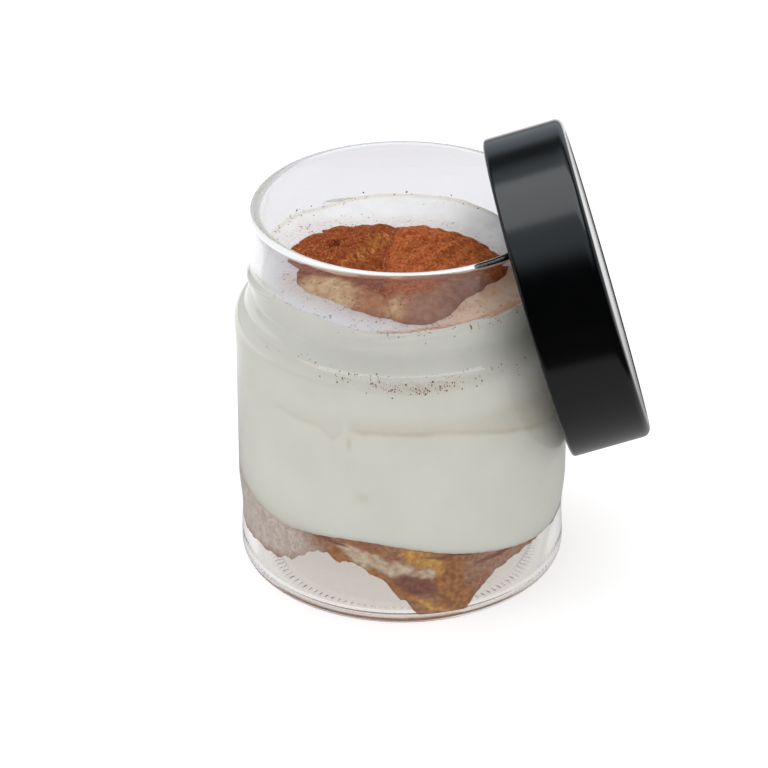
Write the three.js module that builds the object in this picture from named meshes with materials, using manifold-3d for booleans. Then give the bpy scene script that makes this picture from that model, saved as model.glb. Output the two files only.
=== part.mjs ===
// A dessert in a small glass jar: a soaked sponge layer, cream and a cocoa-dusted
// sponge heap, with the jar's twist-off lid hooked over the rim.
// Millimetres, +Z up. The origin is the middle of the whole's footprint, on its base.
import * as THREE from 'three';
import { mergeVertices } from 'three/addons/utils/BufferGeometryUtils.js';
import Module from 'manifold-3d';

const wasm = await Module();
wasm.setup();

// Glass jar, from the base up
const jarHeight = 80.6;
const bodyRadius = 34.5;
const wall = 2.5;
const floorTop = 2.4;
const recess = { radius: 26.5, depth: 0.8 };
const bearingRadius = 27.4;
const heel = { radius: 34.1, corner: 3.4 };
const waist = { radius: 33.85, depth: 0.65, z: 11.5, halfHeight: 9 };
const bodyHigh = 50;
const shoulder = { radius: 34.8, z: 55.5, corner: 4, turn: 62 };
const neckFoot = { radius: 31.9, z: 61.4 };
const neck = { radius: 31.1, low: 63, high: 77.2 };
const rim = { radius: 31.2, lip: 1.1 };
const bore = { radius: 28.9, high: 78 };
const innerCorner = 1.8;
const innerShoulder = { low: 54.5, high: 61.5 };

// Thread lugs on the neck, each a swelling that climbs a little
const threadLugs = {
  count: 4, start: 155, span: 58, lowZ: 63.9, rise: 4.2,
  proud: 1.05, halfHeight: 1.15, root: 0.6, steps: 12, thinEnd: 0.06,
};

// What fills the jar
const gap = 0.3;
const layer = {
  level: 18.4, tilt: 3.4, tiltToward: 157.6, saddle: 0.7, saddleToward: 28.8, lobe: 2.05, lobeToward: 28.7,
};
const keel = { toward: -77, halfWidth: 5 };
const leftArch = { height: 13.2, reach: 16.8, lobeDrop: 6.8, lobeStart: 21.8, lobeReach: 9 };
const rightArch = { height: 10.5, easing: 6 };
const thinnest = 0.9;
const fill = {
  level: 67.4, tilt: 1.1, tiltToward: 123, bulge: 0.9, ripple: 0.35, rippleStart: 1.3, fineRipple: 0.25,
};

// Cocoa-dusted sponge heap in two pieces, with a cleft between them and a ridge on the left one
const heap = {
  x: -1.3, y: -2.5, halfWidth: 22, halfDepth: 18.6,
  underside: 62.5, edge: 66.6, side: 1.0, crown: 4.9, lumps: 0.45, crags: 0.3,
};
const bulges = [{ by: 0.215, toward: -76, width: 17 }, { by: 0.12, toward: 130, width: 45 }];
const cleft = {
  from: new THREE.Vector2(0.2, 17.5), bend: new THREE.Vector2(-7.4, -8.2), to: new THREE.Vector2(-2.2, -25),
  width: 2.6, depth: 1.9,
};
const ridge = { from: new THREE.Vector2(-1.8, 14.1), to: new THREE.Vector2(-12, -3.9), height: 1.4, width: 2.2 };

// Twist-off lid, and how it hangs on the rim
const lid = {
  radius: 34.2, height: 17.0, sheet: 0.7, corner: 1.8, curl: 0.8,
  panelRadius: 31.8, panelStep: 0.4, stepWidth: 0.9,
  centre: new THREE.Vector3(26.1, 0, 58.2), lean: 16.1, toward: 1.8,
};
const lidLugs = { count: 4, depth: 1.5, span: 13, taper: 0.7, low: 0.35, height: 1.1 };

// Fineness of the round shapes
const jarSides = 56;
const fillSides = 48;
const heapSides = 52;
const lidSides = 54;

const radians = THREE.MathUtils.degToRad;
const smooth = (value, low, high) => THREE.MathUtils.smoothstep(value, low, high);

// Points of a round corner, from one angle to another in degrees
function corner(x, y, radius, from, to, steps) {
  const points = [];
  for (let i = 0; i <= steps; i += 1) {
    const angle = radians(from + ((to - from) * i) / steps);
    points.push(new THREE.Vector2(x + radius * Math.cos(angle), y + radius * Math.sin(angle)));
  }
  return points;
}

// Merges the corners that triangles share and drops triangles without area
function weld(geometry) {
  const bare = geometry.clone();
  bare.deleteAttribute('normal');
  bare.deleteAttribute('uv');
  const merged = mergeVertices(bare, 1e-4);
  const index = merged.index.array;
  const kept = [];
  for (let i = 0; i < index.length; i += 3) {
    const [a, b, c] = [index[i], index[i + 1], index[i + 2]];
    if (a !== b && b !== c && c !== a) {
      kept.push(a, b, c);
    }
  }
  merged.setIndex(kept);
  return merged;
}

// A profile from axis to axis, or closed on itself, turned round the Z axis
function turned(profile, sides) {
  const geometry = new THREE.LatheGeometry(profile, sides);
  geometry.rotateX(Math.PI / 2);
  return weld(geometry);
}

// Moves each vertex up or down by a rule
function lifted(geometry, rule) {
  const position = geometry.attributes.position;
  for (let i = 0; i < position.count; i += 1) {
    position.setZ(i, rule(position.getX(i), position.getY(i), position.getZ(i)));
  }
  return geometry;
}

function solid(geometry) {
  const mesh = new wasm.Mesh({
    numProp: 3,
    vertProperties: new Float32Array(geometry.attributes.position.array),
    triVerts: new Uint32Array(geometry.index.array),
  });
  return new wasm.Manifold(mesh);
}

function surface(manifold) {
  const mesh = manifold.getMesh();
  const geometry = new THREE.BufferGeometry();
  geometry.setAttribute('position', new THREE.BufferAttribute(new Float32Array(mesh.vertProperties), 3));
  geometry.setIndex(Array.from(mesh.triVerts));
  return geometry;
}

// Inner wall of the jar up to the shoulder and the bore, set in by an amount
function innerRadiusAt(z, inset) {
  const inShoulder = smooth(z, innerShoulder.low, innerShoulder.high);
  return THREE.MathUtils.lerp(bodyRadius - wall, bore.radius, inShoulder) - inset;
}

function innerWall(fromZ, toZ, steps, inset) {
  const points = [];
  for (let i = 0; i <= steps; i += 1) {
    const z = THREE.MathUtils.lerp(fromZ, toZ, i / steps);
    points.push(new THREE.Vector2(innerRadiusAt(z, inset), z));
  }
  return points;
}

function threadLug(number) {
  const { span, steps, root, proud, halfHeight } = threadLugs;
  const section = [
    [-root, -halfHeight], [proud * 0.7, -halfHeight * 0.45], [proud, 0],
    [proud * 0.7, halfHeight * 0.45], [-root, halfHeight],
  ];
  const around = section.length;
  const vertices = [];
  const faces = [];
  for (let i = 0; i <= steps; i += 1) {
    const along = i / steps;
    const angle = radians(threadLugs.start + (number * 360) / threadLugs.count + span * along);
    const swell = Math.sqrt(Math.max(threadLugs.thinEnd, Math.sin(Math.PI * along)));
    const z = threadLugs.lowZ + threadLugs.rise * along;
    for (const [out, up] of section) {
      const radius = neck.radius + (out > 0 ? out * swell : out);
      vertices.push(radius * Math.cos(angle), radius * Math.sin(angle), z + up * swell);
    }
  }
  for (let i = 0; i < steps; i += 1) {
    for (let j = 0; j < around; j += 1) {
      const a = i * around + j;
      const b = i * around + ((j + 1) % around);
      faces.push(a, a + around, b, b, a + around, b + around);
    }
  }
  const last = steps * around;
  for (let j = 1; j < around - 1; j += 1) {
    faces.push(0, j, j + 1, last, last + j + 1, last + j);
  }
  const geometry = new THREE.BufferGeometry();
  geometry.setAttribute('position', new THREE.Float32BufferAttribute(vertices, 3));
  geometry.setIndex(faces);
  return geometry;
}

// Side of the body, drawn in a little above the heel
function bodySide(steps) {
  const points = [];
  const low = heel.corner + 1;
  for (let i = 0; i <= steps; i += 1) {
    const z = THREE.MathUtils.lerp(low, waist.z + waist.halfHeight, i / steps);
    const swell = smooth(z, waist.z, waist.z + waist.halfHeight);
    const heelSwell = 1 - smooth(z, low, waist.z);
    const out = waist.radius + waist.depth * swell + (heel.radius - waist.radius) * heelSwell;
    points.push(new THREE.Vector2(out, z));
  }
  return points;
}

function glassJar() {
  const innerRadius = bodyRadius - wall;
  const profile = [
    new THREE.Vector2(0, recess.depth),
    new THREE.Vector2(recess.radius, recess.depth),
    new THREE.Vector2(bearingRadius, 0),
    ...corner(heel.radius - heel.corner, heel.corner, heel.corner, -90, 0, 5),
    ...bodySide(5),
    new THREE.Vector2(bodyRadius, bodyHigh),
    ...corner(shoulder.radius - shoulder.corner, shoulder.z, shoulder.corner, 0, shoulder.turn, 5),
    new THREE.Vector2(neckFoot.radius, neckFoot.z),
    new THREE.Vector2(neck.radius, neck.low),
    new THREE.Vector2(neck.radius, neck.high),
    ...corner(rim.radius - rim.lip, jarHeight - rim.lip, rim.lip, -20, 180, 7),
    new THREE.Vector2(bore.radius, bore.high),
    ...innerWall(innerShoulder.high, innerShoulder.low, 5, 0),
    ...corner(innerRadius - innerCorner, floorTop + innerCorner, innerCorner, 0, -90, 4),
    new THREE.Vector2(0, floorTop),
  ];
  let jar = solid(turned(profile, jarSides));
  for (let i = 0; i < threadLugs.count; i += 1) {
    jar = jar.add(solid(threadLug(i)));
  }
  return surface(jar);
}

// Height of the uneven line where the cream lies on the soaked sponge
function layerHeight(x, y) {
  const out = Math.hypot(x, y) / (bodyRadius - wall);
  const angle = Math.atan2(y, x);
  const tilt = layer.tilt * out * Math.cos(angle - radians(layer.tiltToward));
  const saddle = layer.saddle * out ** 2 * Math.cos(2 * (angle - radians(layer.saddleToward)));
  const lobes = layer.lobe * out ** 3 * Math.cos(3 * (angle - radians(layer.lobeToward)));
  return layer.level + tilt + saddle + lobes;
}

// Underside of the soaked sponge: it stands on a keel across the floor and arches up beside it
function undersideHeight(x, y) {
  const toward = radians(keel.toward);
  const side = x * Math.sin(toward) - y * Math.cos(toward);
  const off = Math.max(0, Math.abs(side) - keel.halfWidth);
  let lift = rightArch.height * (1 - Math.exp(-off / rightArch.easing));
  if (side > 0) {
    const rise = Math.sin((Math.PI / 2) * Math.min(1, off / leftArch.reach));
    const lobe = smooth(side, leftArch.lobeStart, leftArch.lobeStart + leftArch.lobeReach);
    lift = leftArch.height * rise - leftArch.lobeDrop * lobe;
  }
  return Math.min(floorTop + gap + lift, layerHeight(x, y) - thinnest);
}

function discRow(radius, steps, z, outward) {
  const points = [];
  for (let i = 0; i <= steps; i += 1) {
    const part = outward ? i / steps : 1 - i / steps;
    points.push(new THREE.Vector2(radius * part, z));
  }
  return points;
}

// How far the sponge's lower edge is rounded up where the wall meets the floor
function edgeRound(radius, wallRadius) {
  const into = Math.max(0, radius - (wallRadius - innerCorner));
  return innerCorner - Math.sqrt(Math.max(0, innerCorner ** 2 - into ** 2));
}

function soakedSponge() {
  const radius = bodyRadius - wall - gap;
  const rings = 8;
  const profile = [
    ...discRow(radius - innerCorner, rings, 0, true),
    new THREE.Vector2(radius - innerCorner * 0.4, 0),
    new THREE.Vector2(radius, 0),
    ...discRow(radius, rings, 1, false),
  ];
  return lifted(turned(profile, fillSides), (x, y, z) => {
    const top = layerHeight(x, y);
    if (z > 0.5) {
      return top;
    }
    const bottom = undersideHeight(x, y) + edgeRound(Math.hypot(x, y), radius);
    return Math.min(bottom, top - thinnest / 2);
  });
}

// Height of the cream's top: tilted, rippled at the wall and a little fuller in the middle
function creamTop(x, y) {
  const out = Math.hypot(x, y) / bore.radius;
  const angle = Math.atan2(y, x);
  const tilt = fill.tilt * out * Math.cos(angle - radians(fill.tiltToward));
  const ripple = fill.ripple * Math.sin(5 * angle + fill.rippleStart) + fill.fineRipple * Math.sin(8 * angle);
  return fill.level + tilt + ripple * out + fill.bulge * (1 - out ** 2);
}

function cream() {
  const lowMark = 0;
  const sideFoot = 30;
  const profile = [
    ...discRow(bodyRadius - wall - gap, 9, lowMark, true),
    ...innerWall(sideFoot, innerShoulder.low, 1, gap),
    ...innerWall(innerShoulder.low, innerShoulder.high, 5, gap).slice(1),
    ...discRow(bore.radius - gap, 8, fill.level, false),
  ];
  const block = lifted(turned(profile, fillSides), (x, y, z) => {
    if (z < sideFoot / 2) {
      return layerHeight(x, y) + gap;
    }
    return z > fill.level - gap ? creamTop(x, y) : z;
  });
  return surface(solid(block).subtract(heapBody(gap)));
}

const cleftLine = new THREE.QuadraticBezierCurve(cleft.from, cleft.bend, cleft.to).getPoints(16);

// Distance from a line of points across the heap
function besideLine(line, x, y) {
  const point = new THREE.Vector2(x, y);
  let nearest = Infinity;
  for (let i = 1; i < line.length; i += 1) {
    const start = line[i - 1];
    const step = line[i].clone().sub(start);
    const from = point.clone().sub(start);
    const along = THREE.MathUtils.clamp(from.dot(step) / step.lengthSq(), 0, 1);
    nearest = Math.min(nearest, from.clone().addScaledVector(step, -along).length());
  }
  return nearest;
}

// Top of the heap: a low dome, a valley along the cleft, the ridge, lumps and crags
function heapTop(x, y, out) {
  const dome = heap.crown * Math.sqrt(Math.max(0, 1 - out * out));
  const valley = cleft.depth * Math.exp(-((besideLine(cleftLine, x, y) / cleft.width) ** 2));
  const crest = ridge.height * Math.exp(-((besideLine([ridge.from, ridge.to], x, y) / ridge.width) ** 2));
  const lumps = heap.lumps * Math.sin(0.62 * x + 1.3) * Math.cos(0.71 * y - 0.4);
  const crags = heap.crags * (Math.sin(1.45 * x - 0.9 * y) + 0.7 * Math.sin(1.9 * y + 1.1 * x + 2));
  const fade = 1 - 0.7 * out ** 4;
  return heap.edge + dome + (crest - valley + lumps + crags) * fade;
}

// Outline of the heap round its middle, as a share of its half width, with two bulges
function heapOutline(angle) {
  let share = 1 + 0.035 * Math.sin(3 * angle + 0.6) + 0.025 * Math.sin(5 * angle + 2) + 0.015 * Math.cos(9 * angle);
  for (const bulge of bulges) {
    share += bulge.by * Math.exp(-(((angle - radians(bulge.toward)) / radians(bulge.width)) ** 2));
  }
  return share;
}

// The whole heap, or with a margin the hollow that it leaves in the cream
function heapBody(margin) {
  const profile = [
    new THREE.Vector2(0, 0),
    new THREE.Vector2(0.55, 0),
    new THREE.Vector2(0.86, 0),
    new THREE.Vector2(1, 0),
    ...discRow(1, 9, 1, false),
  ];
  const geometry = turned(profile, heapSides);
  const position = geometry.attributes.position;
  for (let i = 0; i < position.count; i += 1) {
    const px = position.getX(i);
    const py = position.getY(i);
    const out = Math.hypot(px, py);
    const outline = heapOutline(Math.atan2(py, px));
    const x = heap.x + px * (heap.halfWidth * outline + margin);
    const y = heap.y + py * (heap.halfDepth * outline + margin);
    let z = THREE.MathUtils.lerp(heap.underside, heap.edge - heap.side, smooth(out, 0.5, 1)) - margin;
    if (position.getZ(i) > 0.5) {
      z = margin > 0 ? jarHeight : heapTop(x, y, out);
    }
    position.setXYZ(i, x, y, z);
  }
  return solid(geometry);
}

// All the space on one side of the cleft, as an upright slab
function cleftSide(direction) {
  const reach = 60;
  const shift = (direction * gap) / 2;
  const outline = cleftLine.map((point) => new THREE.Vector2(point.x + shift, point.y));
  outline.unshift(new THREE.Vector2(cleft.from.x + shift, reach));
  outline.push(new THREE.Vector2(cleft.to.x + shift, -reach));
  outline.push(new THREE.Vector2(direction * reach, -reach));
  outline.push(new THREE.Vector2(direction * reach, reach));
  const slab = new THREE.ExtrudeGeometry(new THREE.Shape(outline), { depth: jarHeight, bevelEnabled: false });
  return solid(weld(slab));
}

function heapPiece(direction) {
  return surface(heapBody(0).intersect(cleftSide(direction)));
}

// One of the lid's lugs, a short bar that stands in from the skirt at the open edge
function lidLug(middle) {
  const steps = 4;
  const outline = [];
  const side = (radius, span, direction) => {
    for (let i = 0; i <= steps; i += 1) {
      const angle = radians(middle + direction * span * (i / steps - 0.5));
      outline.push(new THREE.Vector2(radius * Math.cos(angle), radius * Math.sin(angle)));
    }
  };
  side(lid.radius - lid.sheet / 2, lidLugs.span, 1);
  side(lid.radius - lid.sheet - lidLugs.depth, lidLugs.span * lidLugs.taper, -1);
  const shape = new THREE.Shape(outline);
  const bar = new THREE.ExtrudeGeometry(shape, { depth: lidLugs.height, bevelEnabled: false });
  bar.translate(0, 0, lidLugs.low);
  return solid(weld(bar));
}

// Lid with its open face at z = 0 and its panel up
function twistOffLid() {
  const inner = lid.radius - lid.sheet;
  const panelTop = lid.height - lid.panelStep;
  const profile = [
    new THREE.Vector2(0, panelTop - lid.sheet),
    new THREE.Vector2(lid.panelRadius - lid.stepWidth, panelTop - lid.sheet),
    new THREE.Vector2(lid.panelRadius, lid.height - lid.sheet),
    new THREE.Vector2(inner - lid.corner / 2, lid.height - lid.sheet),
    new THREE.Vector2(inner, lid.height - lid.corner),
    new THREE.Vector2(inner, lid.curl * 2),
    ...corner(lid.radius - lid.curl, lid.curl, lid.curl, -180, 0, 6),
    ...corner(lid.radius - lid.corner, lid.height - lid.corner, lid.corner, 0, 90, 4),
    new THREE.Vector2(lid.panelRadius, lid.height),
    new THREE.Vector2(lid.panelRadius - lid.stepWidth, panelTop),
    new THREE.Vector2(0, panelTop),
  ];
  let shell = solid(turned(profile, lidSides));
  for (let i = 0; i < lidLugs.count; i += 1) {
    shell = shell.add(lidLug((i * 360) / lidLugs.count));
  }
  return surface(shell);
}

function finish(color, roughness, metalness, opacity = 1) {
  return new THREE.MeshStandardMaterial({ color, roughness, metalness, opacity, transparent: opacity < 1 });
}

function piece(name, geometry, material) {
  const mesh = new THREE.Mesh(geometry, material);
  mesh.name = name;
  return mesh;
}

const jarGroup = new THREE.Group();
jarGroup.add(piece('glass_jar', glassJar(), finish('#e4e8ea', 0.05, 0, 0.35)));
jarGroup.add(piece('soaked_sponge', soakedSponge(), finish('#a06a45', 0.8, 0)));
jarGroup.add(piece('cream', cream(), finish('#c9cabf', 0.55, 0)));
jarGroup.add(piece('cocoa_sponge_left', heapPiece(-1), finish('#91492b', 0.95, 0)));
jarGroup.add(piece('cocoa_sponge_right', heapPiece(1), finish('#9a4923', 0.95, 0)));

const leaningLid = piece('lid', twistOffLid(), finish('#0c0d0f', 0.25, 0));
leaningLid.position.copy(lid.centre);
leaningLid.rotation.y = radians(90 - lid.lean);
const lidSide = new THREE.Group();
lidSide.rotation.z = radians(lid.toward);
lidSide.add(leaningLid);
jarGroup.add(lidSide);

// The origin goes to the middle of the footprint
const box = new THREE.Box3().setFromObject(jarGroup, true);
jarGroup.position.set(-(box.min.x + box.max.x) / 2, -(box.min.y + box.max.y) / 2, 0);

const dessert = new THREE.Group();
dessert.add(jarGroup);

export default dessert;
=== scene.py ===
import math

import bmesh
import bpy
import numpy as np
from mathutils import Matrix, Vector


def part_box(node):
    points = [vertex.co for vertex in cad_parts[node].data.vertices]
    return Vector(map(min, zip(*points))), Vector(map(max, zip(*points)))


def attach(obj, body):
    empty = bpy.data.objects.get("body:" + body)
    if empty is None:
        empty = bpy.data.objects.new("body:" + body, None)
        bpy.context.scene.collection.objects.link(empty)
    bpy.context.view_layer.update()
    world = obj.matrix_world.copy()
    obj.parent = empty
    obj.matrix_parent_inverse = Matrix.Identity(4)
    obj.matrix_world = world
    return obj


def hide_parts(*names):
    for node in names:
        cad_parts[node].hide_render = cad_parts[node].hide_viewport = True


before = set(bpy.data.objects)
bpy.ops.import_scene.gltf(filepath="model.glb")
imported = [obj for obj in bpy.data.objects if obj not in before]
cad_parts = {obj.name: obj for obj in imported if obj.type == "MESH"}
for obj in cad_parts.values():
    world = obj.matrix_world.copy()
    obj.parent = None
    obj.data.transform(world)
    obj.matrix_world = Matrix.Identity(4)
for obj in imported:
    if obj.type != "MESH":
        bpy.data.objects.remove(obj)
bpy.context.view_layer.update()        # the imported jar, its fillings and its lid, in metres
print("stage 1: frame loaded, nodes", sorted(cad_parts))

mm = 0.001
jarLow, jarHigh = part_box("glass_jar")
jarAxis = np.array([(jarLow[0] + jarHigh[0]) / 2, (jarLow[1] + jarHigh[1]) / 2, 0.0])


# Small tools for heights, noise and meshes. Shapes are worked out in millimetres round the jar's axis.

def smoothStep(value, low, high):
    t = np.clip((value - low) / (high - low), 0.0, 1.0)
    return t * t * (3 - 2 * t)


def bell(value, middle, halfWidth):
    return np.exp(-(((value - middle) / halfWidth) ** 2))


# Direction round the jar's axis in degrees, 0 towards the lid and -90 towards the viewer
def turnOf(x, y):
    return np.degrees(np.arctan2(y, x))


def latticeValue(i, j, k, seed):
    h = (i * 374761393 + j * 668265263 + k * 2147483647 + seed * 974634777) & 0xFFFFFFFF
    h = ((h ^ (h >> 13)) * 1274126177) & 0xFFFFFFFF
    return ((h ^ (h >> 16)) & 0xFFFF) / 32767.5 - 1.0


# Smooth values from -1 to 1 that change over about one size
def softNoise(x, y, z, size, seed):
    px, py, pz = x / size, y / size, z / size
    i, j, k = (np.floor(p).astype(np.int64) for p in (px, py, pz))
    fx, fy, fz = (smoothStep(p - np.floor(p), 0.0, 1.0) for p in (px, py, pz))
    total = 0.0
    for a in (0, 1):
        for b in (0, 1):
            for c in (0, 1):
                weight = (fx if a else 1 - fx) * (fy if b else 1 - fy) * (fz if c else 1 - fz)
                total = total + weight * latticeValue(i + a, j + b, k + c, seed)
    return total


def roughNoise(x, y, z, size, seed, octaves=3):
    total, strength = 0.0, 1.0
    for octave in range(octaves):
        total = total + strength * softNoise(x, y, z, size, seed + octave)
        size, strength = size / 2.1, strength * 0.5
    return total


def straight(start, end, steps):
    return [(start[0] + (end[0] - start[0]) * s / steps, start[1] + (end[1] - start[1]) * s / steps)
            for s in range(1, steps + 1)]


def arcPoints(centre, radius, fromDegrees, toDegrees, steps):
    turns = [math.radians(fromDegrees + (toDegrees - fromDegrees) * s / steps) for s in range(steps + 1)]
    return [(centre[0] + radius * math.cos(t), centre[1] + radius * math.sin(t)) for t in turns]


def anglesRound(count):
    return np.arange(count) * (2 * math.pi / count)


def onCircle(radius, turns):
    return radius * np.cos(turns), radius * np.sin(turns)


def ringOf(radii, heights, turns):
    radii, heights = np.broadcast_to(radii, turns.shape), np.broadcast_to(heights, turns.shape)
    return np.stack([*onCircle(radii, turns), heights], 1)


def allPoints(rings, firstPole, lastPole):
    return np.vstack([np.array([firstPole])] + list(rings) + [np.array([lastPole])])


def addObject(name, data):
    thing = bpy.data.objects.new(name, data)
    bpy.context.scene.collection.objects.link(thing)
    return thing


# Rings of points from one pole to the other, each ring counter-clockwise seen from the last pole
def meshFromRings(name, rings, firstPole, lastPole, attributes=None):
    count = len(rings[0])
    points = allPoints(rings, firstPole, lastPole)
    last = len(points) - 1
    across = np.arange(count)
    nextAcross = (across + 1) % count
    faces = [(0, 1 + b, 1 + a) for a, b in zip(across, nextAcross)]
    for row in range(len(rings) - 1):
        low, high = 1 + row * count, 1 + (row + 1) * count
        faces += [(low + a, low + b, high + b, high + a) for a, b in zip(across, nextAcross)]
    final = 1 + (len(rings) - 1) * count
    faces += [(last, final + a, final + b) for a, b in zip(across, nextAcross)]
    mesh = bpy.data.meshes.new(name)
    mesh.from_pydata((points * mm + jarAxis).tolist(), [], [tuple(int(v) for v in f) for f in faces])
    mesh.polygons.foreach_set("use_smooth", [True] * len(mesh.polygons))
    for label, values in (attributes or {}).items():
        mesh.attributes.new(label, "FLOAT", "POINT").data.foreach_set("value", values)
    mesh.update()
    return addObject(name, mesh)


# Node trees are wired by name

def wire(tree, fromNode, output, toNode, entry):
    tree.links.new(fromNode.outputs[output], toNode.inputs[entry])


def addNode(tree, kind, **settings):
    node = tree.nodes.new(kind)
    for label, value in settings.items():
        setattr(node, label, value)
    return node


def setSockets(node, values):
    for label, value in values.items():
        node.inputs[label].default_value = value


def addMath(tree, operation, first, second=None, third=None):
    node = addNode(tree, "ShaderNodeMath", operation=operation)
    for number, value in enumerate((first, second, third)):
        if isinstance(value, bpy.types.NodeSocket):
            tree.links.new(value, node.inputs[number])
        elif value is not None:
            node.inputs[number].default_value = value
    return node.outputs[0]


def addMix(tree, factor, first, second):
    node = addNode(tree, "ShaderNodeMix", data_type="RGBA")
    for entry, value in ((0, factor), (6, first), (7, second)):
        if isinstance(value, bpy.types.NodeSocket):
            tree.links.new(value, node.inputs[entry])
        else:
            node.inputs[entry].default_value = value
    return node.outputs[2]


def addStep(tree, value, low, high):
    node = addNode(tree, "ShaderNodeMapRange", interpolation_type="SMOOTHSTEP")
    tree.links.new(value, node.inputs["Value"])
    setSockets(node, {"From Min": low, "From Max": high})
    return node.outputs["Result"]


def addLength(tree, x, y):
    squares = addMath(tree, "ADD", addMath(tree, "MULTIPLY", x, x), addMath(tree, "MULTIPLY", y, y))
    return addMath(tree, "SQRT", squares)


# X, Y and Z of a point or a direction
def addAxes(tree, output):
    place = addNode(tree, "ShaderNodeTexCoord")
    split = addNode(tree, "ShaderNodeSeparateXYZ")
    wire(tree, place, output, split, 0)
    return split.outputs["X"], split.outputs["Y"], split.outputs["Z"]


def newGroup(name, kind, inputs, outputs):
    tree = bpy.data.node_groups.new(name, kind)
    for label, socketType, value in inputs:
        socket = tree.interface.new_socket(label, in_out="INPUT", socket_type=socketType)
        if value is not None:
            socket.default_value = value
    for label, socketType in outputs:
        tree.interface.new_socket(label, in_out="OUTPUT", socket_type=socketType)
    return tree, addNode(tree, "NodeGroupInput"), addNode(tree, "NodeGroupOutput")


# The tree's result on a mesh object as a plain mesh of its own
def runTree(source, tree, values, pieceName):
    modifier = source.modifiers.new(tree.name, "NODES")
    modifier.node_group = tree
    for item in tree.interface.items_tree:
        if item.item_type == "SOCKET" and item.in_out == "INPUT" and item.name in values:
            modifier[item.identifier] = values[item.name]
    evaluated = source.evaluated_get(bpy.context.evaluated_depsgraph_get())
    mesh = bpy.data.meshes.new_from_object(evaluated)
    source.modifiers.remove(modifier)
    mesh.name = pieceName
    return addObject(pieceName, mesh)


def removeObject(thing):
    mesh = thing.data
    bpy.data.objects.remove(thing)
    bpy.data.meshes.remove(mesh)


# Shader groups that several materials share

def addNoise(tree, size, detail):
    place = addNode(tree, "ShaderNodeTexCoord")
    texture = addNode(tree, "ShaderNodeTexNoise", noise_dimensions="3D")
    setSockets(texture, {"Detail": detail})
    wire(tree, place, "Object", texture, "Vector")
    tree.links.new(addMath(tree, "DIVIDE", 1.0, size), texture.inputs["Scale"])
    return texture


def buildReliefGroup():
    inputs = [("Grain size", "NodeSocketFloat", 0.001), ("Depth", "NodeSocketFloat", 0.0001),
              ("Roughness of grain", "NodeSocketFloat", 0.6)]
    tree, start, end = newGroup("grainRelief", "ShaderNodeTree", inputs, [("Normal", "NodeSocketVector")])
    texture = addNoise(tree, start.outputs["Grain size"], 4.0)
    wire(tree, start, "Roughness of grain", texture, "Roughness")
    bump = addNode(tree, "ShaderNodeBump")
    setSockets(bump, {"Strength": 1.0})
    wire(tree, start, "Depth", bump, "Distance")
    wire(tree, texture, "Fac", bump, "Height")
    wire(tree, bump, "Normal", end, "Normal")
    return tree


def buildMottleGroup():
    inputs = [("Colour", "NodeSocketColor", (0.5, 0.5, 0.5, 1)),
              ("Other colour", "NodeSocketColor", (0.4, 0.4, 0.4, 1)),
              ("Patch size", "NodeSocketFloat", 0.004), ("Sharpness", "NodeSocketFloat", 0.3),
              ("Balance", "NodeSocketFloat", 0.5)]
    tree, start, end = newGroup("mottledColour", "ShaderNodeTree", inputs,
                                [("Colour", "NodeSocketColor"), ("Patches", "NodeSocketFloat")])
    texture = addNoise(tree, start.outputs["Patch size"], 3.0)
    halfBand = addMath(tree, "SUBTRACT", 0.5, addMath(tree, "MULTIPLY", start.outputs["Sharpness"], 0.5))
    low = addMath(tree, "SUBTRACT", start.outputs["Balance"], halfBand)
    high = addMath(tree, "ADD", start.outputs["Balance"], halfBand)
    ramp = addNode(tree, "ShaderNodeMapRange", interpolation_type="SMOOTHSTEP")
    wire(tree, texture, "Fac", ramp, "Value")
    tree.links.new(low, ramp.inputs["From Min"])
    tree.links.new(high, ramp.inputs["From Max"])
    mixed = addMix(tree, ramp.outputs["Result"], start.outputs["Colour"], start.outputs["Other colour"])
    tree.links.new(mixed, end.inputs["Colour"])
    wire(tree, ramp, "Result", end, "Patches")
    return tree


reliefGroup = buildReliefGroup()
mottleGroup = buildMottleGroup()


def newMaterial(name):
    material = bpy.data.materials.new(name)
    material.use_nodes = True
    tree = material.node_tree
    shader = tree.nodes["Principled BSDF"]
    return material, tree, shader


def addRelief(tree, shader, grainSize, depth, roughness):
    node = addNode(tree, "ShaderNodeGroup", node_tree=reliefGroup)
    setSockets(node, {"Grain size": grainSize, "Depth": depth, "Roughness of grain": roughness})
    wire(tree, node, "Normal", shader, "Normal")


def addMottle(tree, colour, other, patchSize, sharpness=0.4, balance=0.5):
    node = addNode(tree, "ShaderNodeGroup", node_tree=mottleGroup)
    setSockets(node, {"Colour": colour, "Other colour": other, "Patch size": patchSize,
                      "Sharpness": sharpness, "Balance": balance})
    return node


# How much of a tone or a mark each point of the mesh has
def addShare(tree, label):
    return addNode(tree, "ShaderNodeAttribute", attribute_name=label).outputs["Fac"]


def rgb(red, green, blue):
    return (red, green, blue, 1.0)


def mixToSurface(tree, share, first, second):
    mix = addNode(tree, "ShaderNodeMixShader")
    for entry, output in enumerate((share, first, second)):
        tree.links.new(output, mix.inputs[entry])
    wire(tree, mix, "Shader", tree.nodes["Material Output"], "Surface")


black, white = rgb(0, 0, 0), rgb(1, 1, 1)

# Materials. Sizes of patches and grain are in metres.

glassLook = dict(
    low=dict(colour=rgb(0.88, 0.875, 0.85), other=rgb(0.86, 0.855, 0.83), patchSize=0.03),
    high=dict(colour=rgb(0.745, 0.745, 0.775), other=rgb(0.725, 0.725, 0.755), patchSize=0.03),
    highFrom=0.050, highTo=0.064,
    smear=dict(colour=black, other=rgb(0.05, 0.05, 0.05), patchSize=0.012, sharpness=0.2, balance=0.58),
    relief=dict(grainSize=0.009, depth=0.000006, roughness=0.2),
    passing=rgb(0.955, 0.957, 0.962), mostBounces=3.5,
)


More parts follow.
